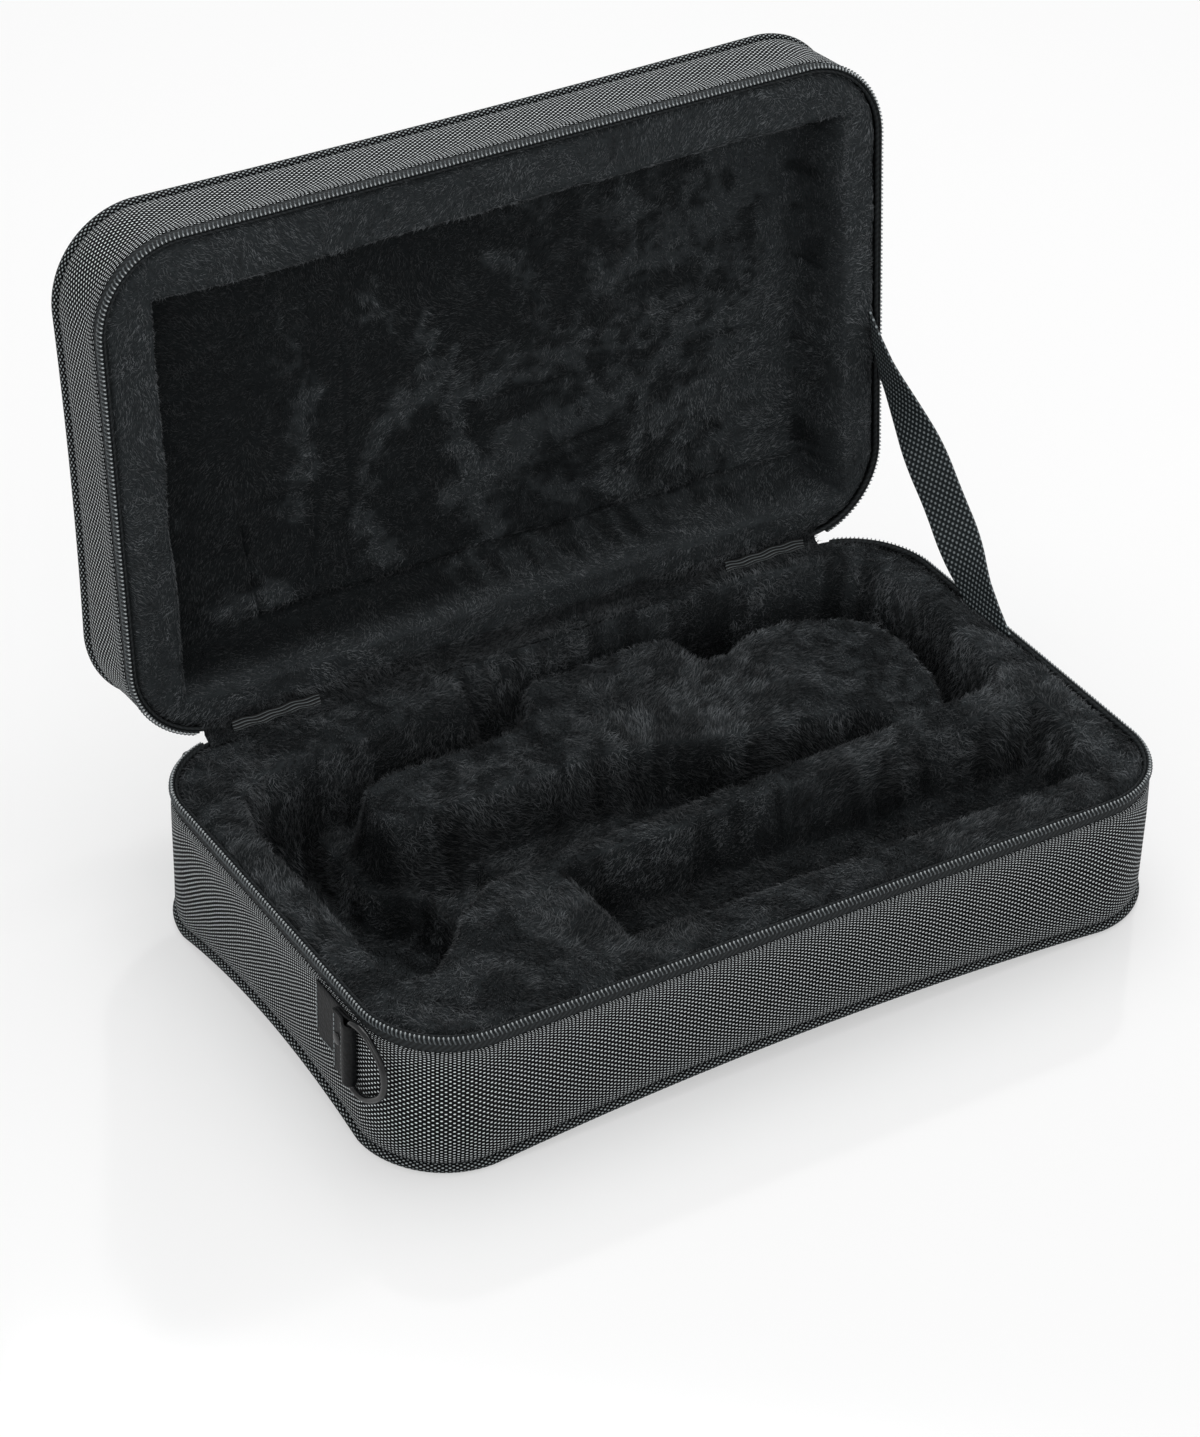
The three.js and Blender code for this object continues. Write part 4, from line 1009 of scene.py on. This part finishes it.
turn = sum(np.interp((in_turns + step) * 5, range(6), STRAP_TURNS) for step in (-0.08, -0.04, 0, 0.04, 0.08)) / 5
bow = 0.003 * np.sin(math.pi * np.clip(along / strap_free, 0, 1))
wide = flat[:, 1] * STRAP_WIDTH
points = np.array(strap_foot) + np.outer(along, strap_way)
points += np.outer(wide * np.cos(turn), strap_wide)
points[:, 0] += wide * np.sin(turn) + bow
put(strap, points)
write_uv(strap, read_uv(strap) * [strap_free + 2 * STRAP_TAIL, STRAP_WIDTH])
thicken(strap, 0.0014, 0, rounded=0.0004)
smooth(strap, 40)

# Basket weave webbing: bundles of threads 1.5 mm wide pass over and under in pairs, drawn 2 mm
# wide here so that they show. Black yarn; the dull shine on the top of each bundle is a painted highlight.
BUNDLE = 0.0021
webbing = new_material("Basket_weave_webbing", 0.5, 0.4)
along_web, across_web, _ = strip_axes(webbing)
over_under = crossed(webbing, wave(webbing, along_web, BUNDLE, "SINE"), wave(webbing, across_web, BUNDLE, "SINE"))
# The pale tops of the bundles are a painted highlight.
colour(webbing, ramp(webbing, over_under, 0.15, 0.85), "#22282a", "#98a1a4")
relief(webbing, over_under, 0.5, 0.0004)
strap.data.materials.append(webbing)
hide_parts("stay_strap")
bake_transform(strap)

# D-rings: steel wire 3.6 mm thick, bent to a D, welded and painted satin black. The straight bar
# stands in the leather loop. The left bow points to the front, and the right one to the back.
satin_black = new_material("Satin_black_painted_steel", 0.16)
paint_wear = solid_texture(satin_black, "TexNoise", 320, Detail=3)[0]
colour(satin_black, paint_wear, "#0d0e0f", "#191b1c")
relief(satin_black, paint_wear, 0.06, 0.0002)
RING_WIRE, RING_HALF, RING_REACH = 0.0018, 0.0213, 0.029
RING_BAR = Vector((0.239, 0.092, 0.0567))
RING_LEAN = math.radians(7)

for side, sense in (("left", -1), ("right", 1)):
    ring_points = [
        (0, -RING_HALF + 0.005), (0, RING_HALF - 0.005), (0.0042, RING_HALF - 0.0006), (0.0215, 0.0150),
        (RING_REACH, 0), (0.0215, -0.0150), (0.0042, -RING_HALF + 0.0006),
    ]
    bends = [
        (
            sense * (RING_BAR.x - reach * math.sin(RING_LEAN)),
            sense * (RING_BAR.y + reach * math.cos(RING_LEAN)),
            RING_BAR.z + height,
        )
        for reach, height in ring_points
    ]
    ring = bent_wire(f"d_ring_{side}_wire", bends, RING_WIRE, 5, 14)
    straight = ring.data.splines[0]
    straight.use_cyclic_u = True
    straight.bezier_points[0].handle_right_type = "VECTOR"
    straight.bezier_points[1].handle_left_type = "VECTOR"
    only(ring)
    bpy.ops.object.convert(target="MESH")
    close_seams(ring)
    smooth(ring, 60)
    ring.data.materials.append(satin_black)
    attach(ring, f"d_ring_{side}")
    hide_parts(f"d_ring_{side}")

# Leather loops and patches: black grained artificial leather 1.6 mm thick. The loop goes round
# the ring's bar, and its two layers are riveted through the patch that is sewn to the end wall.
grained_leather = new_material("Grained_artificial_leather", 0.5, 0.2)
leather_grain = solid_texture(grained_leather, "TexVoronoi", 620)[0]
leather_tone = ramp(grained_leather, leather_grain, 0, 0.8, 1, 0)
colour(grained_leather, leather_tone, "#08090a", "#181a1c")
relief(grained_leather, leather_tone, 0.5, 0.0003)

sewing_thread = new_material("Bonded_polyester_thread", 0.5)
thread_ply = solid_texture(sewing_thread, "TexWave", 900, Distortion=2)[1]
colour(sewing_thread, thread_ply, "#6d7476", "#a4abad")

LOOP_HALF = 0.0185
loop_path = [
    (-0.0003, 0.0150), (-0.0003, 0.0100), (-0.0006, 0.0062), (-0.0019, 0.0034), (-0.0028, 0.0010), (-0.0028, -0.0009),
    (-0.0019, -0.0023), (0, -0.0029), (0.0019, -0.0023), (0.0028, -0.0009), (0.0028, 0.0010), (0.0021, 0.0034),
    (0.0014, 0.0062), (0.0013, 0.0100), (0.0013, 0.0150),
]
PATCH_FROM, PATCH_TO, PATCH_LOW, PATCH_HIGH, PATCH_CUT = 0.0541, 0.0880, 0.0409, 0.0754, 0.005
WALL_X, RIVET_RADIUS = 0.2354, 0.0034


STITCH_STEP, STITCH_SIZE = 0.0028, [0.00038, 0.00038, 0.0011]


def stitches(name, places, ways):
    """One thread stitch, 2.2 mm long, copied along a seam. places are its middles, ways its runs."""
    bpy.ops.mesh.primitive_uv_sphere_add(segments=8, ring_count=6, radius=1)
    one = bpy.context.object
    shape = coordinates(one)
    faces = [list(p.vertices) for p in one.data.polygons]
    bpy.data.objects.remove(one)
    copies = []
    for place, run in zip(places, ways):
        turned = np.array(Vector(run).to_track_quat("Z", "X").to_matrix())
        copies.append(shape * STITCH_SIZE @ turned.T + place)
    seam = new_piece(name, np.concatenate(copies), repeated(faces, len(shape), len(copies)))
    smooth(seam, 60)
    seam.data.materials.append(sewing_thread)
    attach(seam, "base_shell")


for side, sense in (("left", -1), ("right", 1)):
    loop_strap = flat_strip(f"d_ring_loop_{side}_leather", 90, 24)
    flat = coordinates(loop_strap)
    inward, back_along = on_line(follow(loop_path), flat[:, 0] + 0.5)
    points = np.stack([
        sense * (RING_BAR.x - inward), sense * (RING_BAR.y - back_along), RING_BAR.z + flat[:, 1] * 2 * LOOP_HALF,
    ], 1)
    put(loop_strap, points)
    face_out(loop_strap)
    thicken(loop_strap, 0.0015, 0, rounded=0.0003)
    smooth(loop_strap, 50)
    loop_strap.data.materials.append(grained_leather)
    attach(loop_strap, "base_shell")
    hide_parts(f"d_ring_loop_{side}")

    bpy.ops.mesh.primitive_grid_add(x_subdivisions=24, y_subdivisions=26, size=1)
    patch = bpy.context.object
    patch.name = patch.data.name = f"d_ring_patch_{side}_leather"
    flat = coordinates(patch)
    y = PATCH_FROM + (flat[:, 0] + 0.5) * (PATCH_TO - PATCH_FROM)
    z = PATCH_LOW + (flat[:, 1] + 0.5) * (PATCH_HIGH - PATCH_LOW)
    low = np.clip(PATCH_LOW + PATCH_CUT - z, 0, None)
    middle = (PATCH_FROM + PATCH_TO) / 2
    reach = (PATCH_TO - PATCH_FROM) / 2
    y = middle + (y - middle) * (reach - low) / reach
    edge_gap = np.minimum.reduce([y - PATCH_FROM, PATCH_TO - y, z - PATCH_LOW, PATCH_HIGH - z])
    put(patch, np.stack([sense * (WALL_X + 0.0005 * np.clip(edge_gap / 0.002, 0, 1)), sense * y, z], 1))
    thicken(patch, 0.0011, 1, rounded=0.0003)
    smooth(patch, 50)
    patch.data.materials.append(grained_leather)
    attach(patch, "base_shell")
    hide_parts(f"d_ring_patch_{side}")

    out = sense * (WALL_X + 0.00175)
    seam_y = np.arange(PATCH_FROM + 0.0065, PATCH_TO - 0.0065, STITCH_STEP)
    seam_z = np.arange(PATCH_LOW + 0.0070, PATCH_HIGH - 0.001, STITCH_STEP)
    places = [(out, sense * y, PATCH_LOW + 0.0018) for y in seam_y]
    places += [(out, sense * (PATCH_FROM + 0.0018), z) for z in seam_z]
    ways = [(0, 1, 0)] * len(seam_y) + [(0, 0, 1)] * len(seam_z)
    stitches(f"d_ring_patch_{side}_stitches", places, ways)
    loop_out = sense * (RING_BAR.x + 0.00115)
    rows = np.arange(RING_BAR.z - LOOP_HALF + 0.003, RING_BAR.z + LOOP_HALF - 0.002, STITCH_STEP)
    places = [(loop_out, sense * (RING_BAR.y - 0.0132), z) for z in rows]
    places += [(loop_out + sense * 0.0002, sense * (RING_BAR.y - 0.0056), z) for z in rows]
    stitches(f"d_ring_loop_{side}_stitches", places, [(0, 0, 1)] * len(places))

    bpy.ops.mesh.primitive_uv_sphere_add(segments=40, ring_count=20, radius=1)
    rivet_head = bpy.context.object
    rivet_head.name = rivet_head.data.name = f"d_ring_rivet_{side}_head"
    ball = coordinates(rivet_head)
    dome = np.maximum(ball[:, 2], 0) ** 0.8 * 0.0013 + 0.0003 * (ball[:, 2] > -0.1)
    put(rivet_head, np.stack([
        sense * (RING_BAR.x + 0.00105 + dome), sense * (RING_BAR.y - 0.0096 + ball[:, 0] * RIVET_RADIUS),
        RING_BAR.z + 0.0030 + ball[:, 1] * RIVET_RADIUS,
    ], 1))
    close_seams(rivet_head)
    smooth(rivet_head, 50)
    rivet_head.data.materials.append(satin_black)
    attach(rivet_head, "base_shell")
    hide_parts(f"d_ring_rivet_{side}")

# Zip sliders and pulls: die-cast zinc, painted black, parked at the two ends of the zip behind
# the rear corners. Edges are rounded as castings are, and each pull hangs from its bail.
slider_paint = new_material("Black_painted_zinc_casting", 0.38, Metallic=0.5)
casting_grain = solid_texture(slider_paint, "TexNoise", 900, Detail=2)[0]
colour(slider_paint, casting_grain, "#1b1d1e", "#323637")
relief(slider_paint, casting_grain, 0.1, 0.0002)
for side in ("left", "right"):
    for part, body in (("slider", "base_shell"), ("pull", f"zip_pull_{side}")):
        node = bpy.data.objects[f"zip_{part}_{side}"]
        cast = node.copy()
        cast.data = node.data.copy()
        cast.name = cast.data.name = f"zip_{part}_{side}_casting"
        bpy.context.collection.objects.link(cast)
        cast.parent = None
        cast.data.transform(node.matrix_world)
        cast.matrix_world = Matrix.Identity(4)
        cast.data.materials.clear()
        edit(
            cast,
            lambda: bpy.ops.mesh.remove_doubles(threshold=SAME_POINT),
            lambda: bpy.ops.mesh.tris_convert_to_quads(),
            lambda: bpy.ops.mesh.dissolve_limited(angle_limit=0.02),
        )
        modify(cast, "BEVEL", width=0.00032, segments=3, limit_method="ANGLE")
        smooth(cast, 45)
        cast.data.materials.append(slider_paint)
        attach(cast, body)
        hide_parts(f"zip_{part}_{side}")

# Floor, light and camera: a white studio sweep, broad soft lamps, and the photograph's view.
bpy.ops.mesh.primitive_plane_add(size=30, location=(0, 0, -0.0005))
floor = bpy.context.object
floor.name = "studio_floor"
WHITE = (1, 1, 1, 1)
studio_white = new_material("Studio_white_floor", 0.1, 0.9, **{"Emission Color": WHITE})
seen = add(studio_white, "LightPath", {}).outputs["Is Camera Ray"]
colour(studio_white, seen, "#fcfcfc", "#bababa")
link(studio_white, crossed(studio_white, seen, 0.48), "Emission Strength")
floor.data.materials.append(studio_white)

world = bpy.data.worlds.new("Studio")
bpy.context.scene.world = world
world.use_nodes = True
sky = world.node_tree.nodes["Background"]
sky.inputs["Color"].default_value = WHITE
sky.inputs["Strength"].default_value = 0.6


def softbox(name, location, target, size, power):
    bpy.ops.object.light_add(type="AREA", location=location)
    lamp = bpy.context.object
    lamp.name = name
    lamp.data.size = size
    lamp.data.energy = power
    lamp.rotation_euler = (Vector(target) - Vector(location)).to_track_quat("-Z", "Y").to_euler()


softbox("Overhead_softbox", (0.35, 0.4, 1.9), (0, 0, 0.1), 1.6, 18)
softbox("Front_softbox", (-0.9, -1.5, 1.1), (0, 0, 0.1), 1.0, 2)
softbox("Side_softbox", (-1.5, -0.6, 0.9), (-0.2, -0.1, 0.06), 0.7, 2)

bpy.ops.object.camera_add()
camera = bpy.context.object
camera.name = "Photograph_view"
bpy.context.scene.camera = camera
azimuth, elevation, roll = math.radians(-32.52), math.radians(35.2), math.radians(1.62)
back = Vector((
    math.sin(azimuth) * math.cos(elevation),
    -math.cos(azimuth) * math.cos(elevation),
    math.sin(elevation),
))
right = Vector((math.cos(azimuth), math.sin(azimuth), 0))
up = back.cross(right)
turned_right = right * math.cos(roll) + up * math.sin(roll)
turned_up = up * math.cos(roll) - right * math.sin(roll)
AIM, DISTANCE = Vector((-0.0408, 0, 0.13073)), 2.24593
turned = Matrix((turned_right, turned_up, back)).transposed().to_4x4()
camera.matrix_world = Matrix.Translation(AIM + back * DISTANCE) @ turned
camera.data.lens = 109.86
camera.data.sensor_width = 36
camera.data.clip_end = 50
bpy.context.scene.view_settings.view_transform = "Standard"

bpy.context.view_layer.update()
